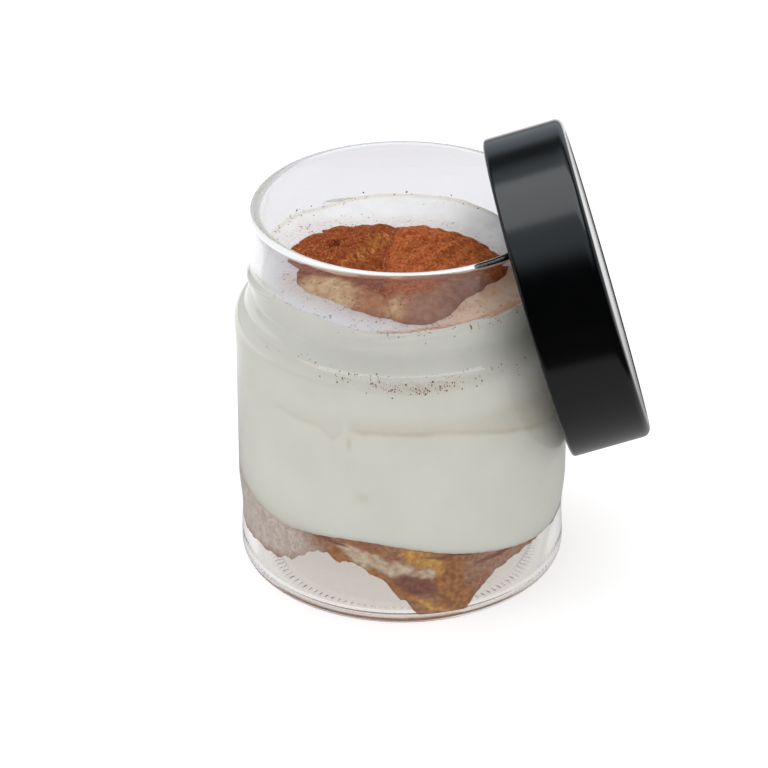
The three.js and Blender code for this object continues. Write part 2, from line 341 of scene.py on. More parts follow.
# Clear glass, warmer low down and darker up the neck, where the darker tint is painted shade. Lamp light
# and rays that have bounced often go straight through.
def glassMaterial():
    material, tree, shader = newMaterial("jarGlass")
    setSockets(shader, {"Transmission Weight": 1.0, "IOR": 1.5})
    height = addAxes(tree, "Object")[2]
    neckward = addStep(tree, height, glassLook["highFrom"], glassLook["highTo"])
    lowTint = addMottle(tree, **glassLook["low"])
    # The darker tint up the neck is painted shade
    neckShadeTint = addMottle(tree, **glassLook["high"])
    tint = addMix(tree, neckward, lowTint.outputs["Colour"], neckShadeTint.outputs["Colour"])
    tree.links.new(tint, shader.inputs["Base Color"])
    wire(tree, addMottle(tree, **glassLook["smear"]), "Colour", shader, "Roughness")
    addRelief(tree, shader, **glassLook["relief"])
    passing = addNode(tree, "ShaderNodeBsdfTransparent")
    passing.inputs["Color"].default_value = glassLook["passing"]
    path = addNode(tree, "ShaderNodeLightPath")
    lampOrBounce = addMath(tree, "MAXIMUM", path.outputs["Is Shadow Ray"], path.outputs["Is Diffuse Ray"])
    trapped = addMath(tree, "GREATER_THAN", path.outputs["Ray Depth"], glassLook["mostBounces"])
    straightOn = addMath(tree, "MAXIMUM", lampOrBounce, trapped)
    mixToSurface(tree, straightOn, shader.outputs["BSDF"], passing.outputs["BSDF"])
    return material


creamLook = dict(
    pressed=dict(colour=rgb(0.79, 0.79, 0.72), other=rgb(0.745, 0.745, 0.67), patchSize=0.011),
    # The open top is paler than the cream against the glass, partly its own look and partly painted light
    openAndLitTop=dict(colour=rgb(0.90, 0.90, 0.91), other=rgb(0.85, 0.85, 0.86), patchSize=0.004),
    # Beige for real stains, also laid along the fold line as painted shade
    stainAndFoldShade=rgb(0.56, 0.48, 0.33),
    haze=dict(colour=rgb(0.82, 0.50, 0.32), other=rgb(0.90, 0.66, 0.47), patchSize=0.0022, sharpness=0.3),
    specks=dict(colour=black, other=white, patchSize=0.0006, sharpness=0.3, balance=0.52),
    dust=rgb(0.42, 0.16, 0.07),
    relief=dict(grainSize=0.0016, depth=0.00006, roughness=0.5),
    sockets={"Roughness": 0.5, "Specular IOR Level": 0.3, "Subsurface Weight": 0.35,
             "Subsurface Radius": (1.0, 0.8, 0.5), "Subsurface Scale": 0.006},
)


def creamMaterial():
    material, tree, shader = newMaterial("whippedCream")
    setSockets(shader, creamLook["sockets"])
    pressed = addMottle(tree, **creamLook["pressed"])
    openAndLitTop = addMottle(tree, **creamLook["openAndLitTop"])
    # The top's paler colour is partly painted light
    base = addMix(tree, addShare(tree, "openAndLitTop"), pressed.outputs["Colour"], openAndLitTop.outputs["Colour"])
    stainedAndShaded = addMix(tree, addShare(tree, "stainAndFoldShade"), base, creamLook["stainAndFoldShade"])
    haze = addMottle(tree, **creamLook["haze"])
    hazed = addMix(tree, addShare(tree, "haze"), stainedAndShaded, haze.outputs["Colour"])
    specks = addMottle(tree, **creamLook["specks"])
    dustShare = addMath(tree, "MULTIPLY", addShare(tree, "dust"), specks.outputs["Patches"])
    dusted = addMix(tree, dustShare, hazed, creamLook["dust"])
    tree.links.new(dusted, shader.inputs["Base Color"])
    addRelief(tree, shader, **creamLook["relief"])
    return material


spongeLook = dict(
    brown=dict(colour=rgb(0.27, 0.095, 0.04), other=rgb(0.46, 0.22, 0.12), patchSize=0.0010, sharpness=0.6),
    pores=dict(colour=black, other=white, patchSize=0.00055, sharpness=0.7, balance=0.62),
    poreColour=rgb(0.14, 0.05, 0.025), poreShare=0.45, roughness=0.45,
    relief=dict(grainSize=0.0008, depth=0.0004, roughness=0.75),
)
spongeTones = {        # laid over the brown in this order
    "mauve": dict(colour=rgb(0.55, 0.43, 0.37), other=rgb(0.74, 0.64, 0.57), patchSize=0.0015,
                  sharpness=0.5),
    "rust": dict(colour=rgb(0.27, 0.085, 0.016), other=rgb(0.52, 0.22, 0.055), patchSize=0.0011,
                 sharpness=0.6),
    "amber": dict(colour=rgb(0.50, 0.20, 0.03), other=rgb(0.74, 0.42, 0.08), patchSize=0.0012,
                  sharpness=0.6),
    "crumb": dict(colour=rgb(0.44, 0.27, 0.17), other=rgb(0.76, 0.62, 0.46), patchSize=0.0011,
                  sharpness=0.5, balance=0.46),
    "deep": dict(colour=rgb(0.15, 0.035, 0.022), other=rgb(0.30, 0.10, 0.06), patchSize=0.0012,
                 sharpness=0.5),
}


def layTones(tree, base, tones):
    colour = base
    for label, tone in tones.items():
        colour = addMix(tree, addShare(tree, label), colour, addMottle(tree, **tone).outputs["Colour"])
    return colour


def spongeMaterial():
    material, tree, shader = newMaterial("soakedSponge")
    brown = addMottle(tree, **spongeLook["brown"])
    colour = layTones(tree, brown.outputs["Colour"], spongeTones)
    pores = addMottle(tree, **spongeLook["pores"])
    poreShare = addMath(tree, "MULTIPLY", pores.outputs["Patches"], spongeLook["poreShare"])
    porous = addMix(tree, poreShare, colour, spongeLook["poreColour"])
    tree.links.new(porous, shader.inputs["Base Color"])
    setSockets(shader, {"Roughness": spongeLook["roughness"]})
    addRelief(tree, shader, **spongeLook["relief"])
    return material


cocoaLook = dict(
    patchSize=0.0009, sharpness=0.6, roughness=0.95, gloss=0.2,
    pits=dict(colour=black, other=white, patchSize=0.0005, sharpness=0.6, balance=0.60),
    pitColour=rgb(0.10, 0.02, 0.008), pitShare=0.55,
    relief=dict(grainSize=0.0006, depth=0.0004, roughness=0.8),
)
toneGrain = dict(patchSize=0.0014, sharpness=0.45)
cocoaTones = {        # laid over the powder in this order
    "brown": dict(colour=rgb(0.44, 0.16, 0.07), other=rgb(0.66, 0.31, 0.15), **toneGrain),
    "mauve": dict(colour=rgb(0.38, 0.16, 0.10), other=rgb(0.52, 0.26, 0.17), **toneGrain),
    "beige": dict(colour=rgb(0.66, 0.38, 0.18), other=rgb(0.94, 0.68, 0.41), **toneGrain),
    # Pale crumb, also used as painted highlight along the ridge's crest
    "crumbAndCrestLight": dict(colour=rgb(0.52, 0.15, 0.025), other=rgb(0.90, 0.42, 0.12), **toneGrain),
    # Near black, laid as painted shade in the heap's hollow and along the cleft between its pieces
    "cleftAndHollowShade": dict(colour=rgb(0.07, 0.014, 0.006), other=rgb(0.11, 0.025, 0.01), **toneGrain),
}


def cocoaMaterial(name, colour, other):
    material, tree, shader = newMaterial(name)
    powder = addMottle(tree, colour, other, cocoaLook["patchSize"], cocoaLook["sharpness"])
    mixed = layTones(tree, powder.outputs["Colour"], cocoaTones)
    pits = addMottle(tree, **cocoaLook["pits"])
    onCrown = addMath(tree, "SUBTRACT", 1.0, addShare(tree, "brown"))
    crownPits = addMath(tree, "MULTIPLY", pits.outputs["Patches"], onCrown)
    pitShare = addMath(tree, "MULTIPLY", crownPits, cocoaLook["pitShare"])
    pitted = addMix(tree, pitShare, mixed, cocoaLook["pitColour"])
    tree.links.new(pitted, shader.inputs["Base Color"])
    setSockets(shader, {"Roughness": cocoaLook["roughness"], "Specular IOR Level": cocoaLook["gloss"]})
    addRelief(tree, shader, **cocoaLook["relief"])
    return material


# Materials of one mottled colour
def plainMaterial(name, tone, sockets, relief):
    material, tree, shader = newMaterial(name)
    wire(tree, addMottle(tree, **tone), "Colour", shader, "Base Color")
    setSockets(shader, sockets)
    addRelief(tree, shader, **relief)
    return material


grainLook = dict(
    grain=dict(patchSize=0.0007, sharpness=0.7), sockets={"Roughness": 0.9, "Specular IOR Level": 0.2},
    relief=dict(grainSize=0.0002, depth=0.00005, roughness=0.7),
)
linerLook = dict(tone=dict(colour=rgb(0.10, 0.10, 0.10), other=rgb(0.14, 0.14, 0.135), patchSize=0.003),
                 sockets={"Roughness": 0.6}, relief=dict(grainSize=0.0008, depth=0.00002, roughness=0.5))
enamelLook = dict(
    lacquer=dict(colour=rgb(0.0010, 0.0011, 0.0013), other=rgb(0.0016, 0.0018, 0.0021), patchSize=0.006),
    smear=dict(colour=rgb(0.14, 0.14, 0.14), other=rgb(0.19, 0.19, 0.19), patchSize=0.010, sharpness=0.2),
    relief=dict(grainSize=0.0011, depth=0.000006, roughness=0.4),
)


def grainMaterial(name, colour, other):
    tone = dict(colour=colour, other=other, **grainLook["grain"])
    return plainMaterial(name, tone, grainLook["sockets"], grainLook["relief"])


def enamelMaterial():
    material, tree, shader = newMaterial("blackEnamel")
    wire(tree, addMottle(tree, **enamelLook["lacquer"]), "Colour", shader, "Base Color")
    wire(tree, addMottle(tree, **enamelLook["smear"]), "Colour", shader, "Roughness")
    addRelief(tree, shader, **enamelLook["relief"])
    return material


# 1 for a ray straight off a shiny surface that the viewer sees. The room counts one bounce more.
def mirrorShare(tree, deepest):
    path = addNode(tree, "ShaderNodeLightPath")
    first = addMath(tree, "LESS_THAN", path.outputs["Ray Depth"], deepest)
    mirror = addMath(tree, "MULTIPLY", path.outputs["Is Glossy Ray"], path.outputs["Is Reflection Ray"])
    return addMath(tree, "MULTIPLY", mirror, first)


# Places are in metres from the middle of the floor
floorLook = dict(
    size=6.0, albedo=0.45, glow=0.72, roughness=0.8, patchSize=0.2,
    mirrorNear=0.42, nearTo=0.15, mirrorFar=0.03, farFrom=0.18,
    mirrorBehind=1.3, behindFrom=-0.02, behindTo=0.15, dimFrom=0.35, dimTo=0.7, dimBy=0.8,
    deepestMirror=1.5,
)


# The floor glows a little, as a lit table does, and mirrored rays see a darker front
def floorMaterial():
    material, tree, shader = newMaterial("paleFloor")
    pale, paler = floorLook["albedo"] * 0.99, floorLook["albedo"]
    tone = addMottle(tree, rgb(paler, paler, paler), rgb(pale, pale, pale), floorLook["patchSize"])
    wire(tree, tone, "Colour", shader, "Base Color")
    setSockets(shader, {"Roughness": floorLook["roughness"], "Specular IOR Level": 0.0,
                        "Emission Color": white, "Emission Strength": floorLook["glow"]})
    x, y, _ = addAxes(tree, "Object")
    away = addStep(tree, addLength(tree, x, y), floorLook["nearTo"], floorLook["farFrom"])
    span = floorLook["mirrorFar"] - floorLook["mirrorNear"]
    near = addMath(tree, "MULTIPLY_ADD", away, span, floorLook["mirrorNear"])
    dimmed = addStep(tree, y, floorLook["dimFrom"], floorLook["dimTo"])
    farBehind = addMath(tree, "MULTIPLY_ADD", dimmed, -floorLook["dimBy"], 1.0)
    behind = addStep(tree, y, floorLook["behindFrom"], floorLook["behindTo"])
    behind = addMath(tree, "MULTIPLY", behind, floorLook["mirrorBehind"])
    behind = addMath(tree, "MULTIPLY", behind, farBehind)
    mirrored = addNode(tree, "ShaderNodeEmission")
    tree.links.new(addMath(tree, "MAXIMUM", near, behind), mirrored.inputs["Strength"])
    share = mirrorShare(tree, floorLook["deepestMirror"])
    mixToSurface(tree, share, shader.outputs["BSDF"], mirrored.outputs["Emission"])
    material.cycles.emission_sampling = "NONE"
    return material


print("stage 2: shader groups built")

# The glass jar

jar = dict(
    height=80.6, bodyRadius=34.5, wall=2.5, floorTop=2.4,
    recessRadius=26.5, recessDepth=0.8, bearingRadius=27.4, heelRadius=34.1, heelCorner=3.4,
    waistRadius=33.85, waistHeight=11.5, waistHalfHeight=9.0, bodyHigh=50.0,
    shoulderRadius=34.8, shoulderHeight=55.5, shoulderCorner=4.0, shoulderTurn=62.0,
    neckFootRadius=31.9, neckFootHeight=61.4, neckRadius=31.1, neckLow=63.0, lugsEnd=70.5, neckHigh=77.2,
    rimRadius=31.2, rimLip=1.1, boreRadius=28.9, boreHigh=78.0,
    innerCorner=1.8, innerShoulderLow=54.5, innerShoulderHigh=61.5, around=480,
)
threadLugs = dict(count=4, start=155.0, span=58.0, low=63.9, rise=4.2, proud=1.0, halfHeight=1.35)
gripRing = dict(ribs=120, ringRadius=27.9, ringHalfWidth=0.75, depth=0.45)


# Inner wall of the jar from the floor's round corner to the bore
def innerGlassRadius(heights):
    heights = np.asarray(heights, float)
    inShoulder = smoothStep(heights, jar["innerShoulderLow"], jar["innerShoulderHigh"])
    straightWall = jar["bodyRadius"] - jar["wall"]
    radius = straightWall + (jar["boreRadius"] - straightWall) * inShoulder
    into = np.clip(jar["innerCorner"] - (heights - jar["floorTop"]), 0.0, jar["innerCorner"])
    return radius - jar["innerCorner"] + np.sqrt(jar["innerCorner"] ** 2 - into ** 2)


# How far the thread lugs stand out of the neck
def lugSwell(turns, height):
    degrees = np.degrees(turns)
    out = np.zeros_like(turns)
    for number in range(threadLugs["count"]):
        start = threadLugs["start"] + number * 360.0 / threadLugs["count"]
        along = ((degrees - start) % 360.0) / threadLugs["span"]
        inside = along < 1.0
        swell = np.sqrt(np.clip(np.sin(np.pi * np.clip(along, 0, 1)), 0.0, 1.0))
        off = (height - threadLugs["low"] - threadLugs["rise"] * along) / threadLugs["halfHeight"]
        section = np.clip(1 - off ** 2, 0.0, 1.0) ** 1.5
        out = np.where(inside, np.maximum(out, threadLugs["proud"] * swell * section), out)
    return out


def bodySidePoints(steps):
    low = jar["heelCorner"] + 0.6
    high = jar["waistHeight"] + jar["waistHalfHeight"]
    points = []
    for step in range(steps + 1):
        z = low + (high - low) * step / steps
        swell = smoothStep(z, jar["waistHeight"], high)
        heelSwell = 1 - smoothStep(z, low, jar["waistHeight"])
        radius = (jar["waistRadius"] + (jar["bodyRadius"] - jar["waistRadius"]) * swell
                  + (jar["heelRadius"] - jar["waistRadius"]) * heelSwell)
        points.append((radius, z))
    return points


def jarProfile():
    heelMiddle = jar["heelRadius"] - jar["heelCorner"]
    lipMiddle = (jar["rimRadius"] - jar["rimLip"], jar["height"] - jar["rimLip"])
    lip = arcPoints(lipMiddle, jar["rimLip"], -20, 180, 16)
    shoulderTop = (jar["shoulderRadius"] - jar["shoulderCorner"], jar["shoulderHeight"])
    shoulder = arcPoints(shoulderTop, jar["shoulderCorner"], 0, jar["shoulderTurn"], 12)
    neckLow = (jar["neckRadius"], jar["neckLow"])
    points = straight((0, jar["recessDepth"]), (jar["recessRadius"] - 1, jar["recessDepth"]), 8)
    points += straight(points[-1], (jar["recessRadius"], jar["recessDepth"]), 2)
    points += straight(points[-1], (jar["bearingRadius"], 0.0), 4)
    points += straight(points[-1], (heelMiddle, 0.0), 8)
    points += arcPoints((heelMiddle, jar["heelCorner"]), jar["heelCorner"], -90, 0, 14)[1:]
    points += bodySidePoints(16)
    points += straight(points[-1], (jar["bodyRadius"], jar["bodyHigh"]), 3)
    points += straight(points[-1], shoulder[0], 4)[:-1] + shoulder
    points += straight(points[-1], (jar["neckFootRadius"], jar["neckFootHeight"]), 2)
    points += straight(points[-1], neckLow, 4)
    points += straight(points[-1], (jar["neckRadius"], jar["lugsEnd"]), 30)
    points += straight(points[-1], (jar["neckRadius"], jar["neckHigh"]), 4)
    points += straight(points[-1], lip[0], 2)[:-1] + lip
    points += straight(points[-1], (jar["boreRadius"], jar["boreHigh"]), 2)
    for height in np.linspace(jar["innerShoulderHigh"], jar["innerShoulderLow"], 14):
        points.append((float(innerGlassRadius(height)), float(height)))
    innerRadius = jar["bodyRadius"] - jar["wall"]
    cornerMiddle = (innerRadius - jar["innerCorner"], jar["floorTop"] + jar["innerCorner"])
    points += straight(points[-1], (innerRadius, cornerMiddle[1] + 0.5), 4)
    points += arcPoints(cornerMiddle, jar["innerCorner"], 0, -90, 10)
    points += straight(points[-1], (0, jar["floorTop"]), 8)[:-1]
    return points


# Short radial grooves round the bearing ring of the base
def buildGripRingTree():
    inputs = [("Geometry", "NodeSocketGeometry", None), ("Ribs", "NodeSocketInt", 120),
              ("Ring radius", "NodeSocketFloat", 0.028), ("Ring half width", "NodeSocketFloat", 0.0007),
              ("Depth", "NodeSocketFloat", 0.0004), ("Axis", "NodeSocketVector", (0, 0, 0)),
              ("Highest", "NodeSocketFloat", 0.0009), ("Finish", "NodeSocketMaterial", None)]
    outputs = [("Geometry", "NodeSocketGeometry")]
    tree, start, end = newGroup("gripRing", "GeometryNodeTree", inputs, outputs)
    position = addNode(tree, "GeometryNodeInputPosition")
    local = addNode(tree, "ShaderNodeVectorMath", operation="SUBTRACT")
    wire(tree, position, "Position", local, 0)
    wire(tree, start, "Axis", local, 1)
    split = addNode(tree, "ShaderNodeSeparateXYZ")
    wire(tree, local, 0, split, 0)
    x, y, z = split.outputs["X"], split.outputs["Y"], split.outputs["Z"]
    radius = addLength(tree, x, y)
    turn = addMath(tree, "ARCTAN2", y, x)
    off = addMath(tree, "DIVIDE", addMath(tree, "SUBTRACT", radius, start.outputs["Ring radius"]),
                  start.outputs["Ring half width"])
    inside = addMath(tree, "SUBTRACT", 1.0, addMath(tree, "MULTIPLY", off, off))
    across = addMath(tree, "MAXIMUM", inside, 0.0)
    phase = addMath(tree, "MULTIPLY", turn, start.outputs["Ribs"])
    wave = addMath(tree, "MAXIMUM", addMath(tree, "SINE", phase), 0.0)
    onBase = addMath(tree, "LESS_THAN", z, start.outputs["Highest"])
    lift = addMath(tree, "MULTIPLY", addMath(tree, "MULTIPLY", across, wave),
                   addMath(tree, "MULTIPLY", onBase, start.outputs["Depth"]))
    offset = addNode(tree, "ShaderNodeCombineXYZ")
    tree.links.new(lift, offset.inputs["Z"])
    moved = addNode(tree, "GeometryNodeSetPosition")
    wire(tree, start, "Geometry", moved, "Geometry")
    wire(tree, offset, 0, moved, "Offset")
    realize = addNode(tree, "GeometryNodeRealizeInstances")
    finished = addNode(tree, "GeometryNodeSetMaterial")
    wire(tree, moved, "Geometry", realize, "Geometry")
    wire(tree, realize, "Geometry", finished, "Geometry")
    wire(tree, start, "Finish", finished, "Material")
    wire(tree, finished, "Geometry", end, "Geometry")
    return tree


def buildJar():
    turns = anglesRound(jar["around"])
    rings = []
    for radius, height in jarProfile():
        onNeck = jar["neckFootHeight"] < height <= jar["lugsEnd"] + 0.1 and radius <= jar["neckFootRadius"]
        outside = radius >= jar["neckRadius"] - 0.01
        swell = lugSwell(turns, height) if onNeck and outside else 0.0
        rings.append(ringOf(radius + swell, height, turns))
    blank = meshFromRings("jarBlank", rings, (0, 0, jar["recessDepth"]), (0, 0, jar["floorTop"]))
    values = {
        "Ribs": gripRing["ribs"], "Ring radius": gripRing["ringRadius"] * mm,
        "Ring half width": gripRing["ringHalfWidth"] * mm, "Depth": gripRing["depth"] * mm,
        "Axis": Vector(jarAxis), "Highest": (jar["recessDepth"] + 0.1) * mm, "Finish": glassMaterial(),
    }
    piece = runTree(blank, buildGripRingTree(), values, "jarGlass")
    removeObject(blank)
    return piece


jarGlass = buildJar()
print("stage 3: glass jar,", len(jarGlass.data.polygons), "faces")

# What fills the jar: the line between cream and soaked sponge, and the sponge's arched underside

layer = dict(level=18.4, tilt=3.4, tiltToward=157.6, saddle=0.7, saddleToward=28.8, lobe=2.05,
             lobeToward=28.7, ripple=0.35, rippleToward=10.9, seep=0.1, seepSize=1.2)
keel = dict(toward=-77.0, halfWidth=5.0)
leftArch = dict(height=13.2, reach=16.8, lobeDrop=6.8, lobeStart=21.8, lobeReach=9.0)
rightArch = dict(height=10.5, easing=6.0)
hangingTip = dict(toward=-116.5, halfWidth=2.6, drop=1.6)
spongeCut = dict(thinnest=0.12, intoWall=0.10, intoCream=0.1, ragged=0.55, raggedSize=1.5, raggedFrom=2.0,
                 cornerShare=0.45, around=420, lowRings=62, sideRings=40, topRings=16)


def layerHeight(x, y):
    out = np.hypot(x, y) / (jar["bodyRadius"] - jar["wall"])
    turn = turnOf(x, y)
    height = layer["level"]
    for name, times in (("tilt", 1), ("saddle", 2), ("lobe", 3), ("ripple", 6)):
        toward = layer[name + "Toward"]
        height = height + layer[name] * out ** times * np.cos(np.radians(times * (turn - toward)))
    return height + layer["seep"] * roughNoise(x, y, 0 * x, layer["seepSize"], 11, 2)


def undersideHeight(x, y):
    toward = math.radians(keel["toward"])
    side = x * math.sin(toward) - y * math.cos(toward)
    off = np.maximum(0.0, np.abs(side) - keel["halfWidth"])
    rise = np.sin(np.pi / 2 * np.minimum(1.0, off / leftArch["reach"]))
    lobe = smoothStep(side, leftArch["lobeStart"], leftArch["lobeStart"] + leftArch["lobeReach"])
    left = leftArch["height"] * rise - leftArch["lobeDrop"] * lobe
    right = rightArch["height"] * (1 - np.exp(-off / rightArch["easing"]))
    lift = np.where(side > 0, left, right)
    nearWall = (np.hypot(x, y) / (jar["bodyRadius"] - jar["wall"])) ** 8
    tip = hangingTip["drop"] * bell(turnOf(x, y), hangingTip["toward"], hangingTip["halfWidth"])
    lift = lift - tip * nearWall
    ragged = spongeCut["ragged"] * roughNoise(x, y, 0 * x, spongeCut["raggedSize"], 23, 3)
    lift = np.maximum(lift + ragged * smoothStep(off, 0.0, spongeCut["raggedFrom"]), 0.0)
    return jar["floorTop"] - spongeCut["intoWall"] + lift


# Patches of colour on the sponge where it lies on the glass, by direction, height and slope
patchEdge = dict(inner=0.72, outer=1.25)
patchWander = dict(size=2.2, plain=(1.6, 0.5), faded=(2.0, 0.4), glassFrom=24.0, glassTo=31.0)
spongePatches = [
    dict(tone="crumb", toward=-110.0, height=17.1, halfArc=3.6, halfHeight=1.3, slope=-0.20),
    dict(tone="crumb", toward=-102.5, height=15.4, halfArc=4.6, halfHeight=2.2, slope=-0.30),
    dict(tone="crumb", toward=-93.0, height=13.3, halfArc=4.8, halfHeight=2.1, slope=-0.28),
    dict(tone="crumb", toward=-84.5, height=12.3, halfArc=2.8, halfHeight=1.3, slope=-0.15),
    dict(tone="amber", toward=-85.0, height=16.0, halfArc=4.2, halfHeight=2.0, slope=-0.35),
    dict(tone="amber", toward=-79.0, height=13.6, halfArc=1.8, halfHeight=2.2, slope=0.0),
    dict(tone="amber", toward=-81.0, height=4.2, halfArc=4.0, halfHeight=0.8, slope=-0.5),
    dict(tone="deep", toward=-87.0, height=9.6, halfArc=4.4, halfHeight=2.4, slope=-0.40),
    dict(tone="deep", toward=-70.5, height=16.0, halfArc=8.5, halfHeight=0.45, slope=-0.05),
    dict(tone="deep", toward=-43.0, height=14.6, halfArc=12.0, halfHeight=0.7, slope=0.12),
    dict(tone="deep", toward=-120.0, height=18.9, halfArc=5.0, halfHeight=0.5, slope=-0.2),
]
fadedPatches = [
    # The broad pale mauve on the left is partly the sponge's own tone and partly painted reflection of the
    # glass over it
    dict(tone="mauve", share=1.0, toward=-160.0, height=15.5, halfArc=19.0, halfHeight=6.5, slope=0.0),
    dict(tone="mauve", share=0.12, toward=-58.0, height=12.4, halfArc=7.5, halfHeight=3.0, slope=0.05),
    dict(tone="rust", share=1.0, toward=-75.0, height=10.0, halfArc=3.4, halfHeight=7.0, slope=0.0),
    dict(tone="rust", share=1.0, toward=-70.0, height=4.6, halfArc=2.8, halfHeight=2.6, slope=0.0),
    dict(tone="rust", share=1.0, toward=-95.0, height=9.2, halfArc=6.5, halfHeight=1.5, slope=-0.75),
    dict(tone="rust", share=0.9, toward=-115.5, height=15.6, halfArc=2.2, halfHeight=3.0, slope=-0.2),
    dict(tone="rust", share=0.7, toward=-104.0, height=18.2, halfArc=6.0, halfHeight=0.9, slope=-0.2),
]


def patchStrength(patch, turn, height):
    radius = jar["bodyRadius"] - jar["wall"]
    along = np.radians((turn - patch["toward"] + 180.0) % 360.0 - 180.0) * radius
    up = height - patch["height"] - patch["slope"] * along
    off = np.sqrt((along / patch["halfArc"]) ** 2 + (up / patch["halfHeight"]) ** 2)
    return 1 - smoothStep(off, patchEdge["inner"], patchEdge["outer"])


def spongeMarks(points):
    x, y, z = points.T
    out = smoothStep(np.hypot(x, y), patchWander["glassFrom"], patchWander["glassTo"])
    wobble = roughNoise(x, y, z, patchWander["size"], 31, 2)
    marks = {tone: np.zeros(len(points)) for tone in spongeTones}
    wander = ((spongePatches, patchWander["plain"]), (fadedPatches, patchWander["faded"]))
    for patches, (along, up) in wander:
        for patch in patches:
            strength = patchStrength(patch, turnOf(x, y) + along * wobble, z + up * wobble)
            strength = patch.get("share", 1.0) * strength
            marks[patch["tone"]] = np.maximum(marks[patch["tone"]], strength * out)
    return marks


def middleHeight(rule, x=0.0, y=0.0):
    return float(rule(np.array([x]), np.array([y]))[0])


def buildSoakedSponge():
    turns = anglesRound(spongeCut["around"])
    wallRadius = jar["bodyRadius"] - jar["wall"] + spongeCut["intoWall"]
    lowRadius = wallRadius - jar["innerCorner"] * spongeCut["cornerShare"]
    rings = []
    for radius in np.linspace(0.5, lowRadius, spongeCut["lowRings"]):
        x, y = onCircle(radius, turns)
        top = layerHeight(x, y) - spongeCut["thinnest"]
        rings.append(ringOf(radius, np.minimum(undersideHeight(x, y), top), turns))
    x, y = onCircle(wallRadius, turns)
    high = layerHeight(x, y) + spongeCut["intoCream"]
    low = np.minimum(undersideHeight(x, y) + 0.05, high - spongeCut["thinnest"])
    for share in np.linspace(0.0, 1.0, spongeCut["sideRings"]):
        heights = low + (high - low) * share
        radii = np.maximum(innerGlassRadius(heights) + spongeCut["intoWall"], lowRadius)
        rings.append(ringOf(radii, heights, turns))
    for radius in np.linspace(wallRadius - 1.5, 1.0, spongeCut["topRings"]):
        rings.append(ringOf(radius, layerHeight(*onCircle(radius, turns)) + spongeCut["intoCream"], turns))
    bottom = (0, 0, middleHeight(undersideHeight))
    top = (0, 0, middleHeight(layerHeight) + spongeCut["intoCream"])
    marks = spongeMarks(allPoints(rings, bottom, top))
    piece = meshFromRings("soakedSponge", rings, bottom, top, marks)
    piece.data.materials.append(spongeMaterial())
    return piece


soakedSponge = buildSoakedSponge()
print("stage 4: soaked sponge,", len(soakedSponge.data.polygons), "faces")

# The cream, with a fold line where it was filled in two goes

fill = dict(level=67.4, tilt=1.1, tiltToward=123.0, bulge=0.9, ripple=0.35, rippleStart=1.3,
            fineRipple=0.25, climb=0.55, climbWidth=1.2, relief=0.16, reliefSize=3.4, intoWall=0.14,
            wallRelief=0.03, wallReliefSize=5.0, around=420, lowRings=14, sideRings=110, topRings=74)
foldLine = dict(height=45.4, dropRight=7.4, dropStart=-82.0, dropSpan=66.0, halfWidth=0.45, depth=0.07,
                drip=2.4, dripBell=(-117.5, 3.2), wave=0.16, waves=7, waveStart=0.5,
                leftSpan=(-148.0, -136.0), gap=0.8, gapBell=(-112.5, 1.5), faint=0.55, plainer=0.45,
                plainSpan=(-112.0, -106.0), rightSpan=(-10.0, 5.0))
specksBand = dict(height=56.3, halfWidth=1.1, start=-160.0, end=-33.0, lift=0.7, liftBell=(-128.0, 18.0),
                  dip=0.6, dipBell=(-86.0, 11.0), dropRight=1.3, dropSpan=(-60.0, -40.0))
frontSwell = dict(x=17.0, y=-18.0, size=8.0, height=0.9)


def creamTop(x, y):
    out = np.hypot(x, y) / jar["boreRadius"]
    turn = np.arctan2(y, x)
    tilt = fill["tilt"] * out * np.cos(turn - math.radians(fill["tiltToward"]))
    ripple = fill["ripple"] * np.sin(5 * turn + fill["rippleStart"]) + fill["fineRipple"] * np.sin(8 * turn)
    height = fill["level"] + tilt + ripple * out + fill["bulge"] * (1 - out ** 2)
    fromGlass = np.maximum(0, jar["boreRadius"] - out * jar["boreRadius"])
    height = height + fill["climb"] * np.exp(-fromGlass / fill["climbWidth"])
    off = np.hypot(x - frontSwell["x"], y - frontSwell["y"]) / frontSwell["size"]
    height = height + frontSwell["height"] * np.exp(-off ** 2)
    return height + fill["relief"] * roughNoise(x, y, 0 * x, fill["reliefSize"], 41, 3)


def foldHeight(turn):
    dropEnd = foldLine["dropStart"] + foldLine["dropSpan"]
    drop = foldLine["dropRight"] * smoothStep(turn, foldLine["dropStart"], dropEnd)
    drip = foldLine["drip"] * bell(turn, *foldLine["dripBell"])
    wave = foldLine["wave"] * np.sin(np.radians(turn) * foldLine["waves"] + foldLine["waveStart"])
    return foldLine["height"] - drop - drip + wave


# How plainly the fold shows in each direction
def foldShare(turn):
    gap = 1 - foldLine["gap"] * bell(turn, *foldLine["gapBell"])
    left = smoothStep(turn, *foldLine["leftSpan"]) * gap
    plain = foldLine["faint"] + foldLine["plainer"] * smoothStep(turn, *foldLine["plainSpan"])
    return left * plain * (1 - smoothStep(turn, *foldLine["rightSpan"]))


def specksHeight(turn):
    lift = specksBand["lift"] * bell(turn, *specksBand["liftBell"])
    dip = specksBand["dip"] * bell(turn, *specksBand["dipBell"])
    drop = specksBand["dropRight"] * smoothStep(turn, *specksBand["dropSpan"])
    return specksBand["height"] + (lift - dip) - drop


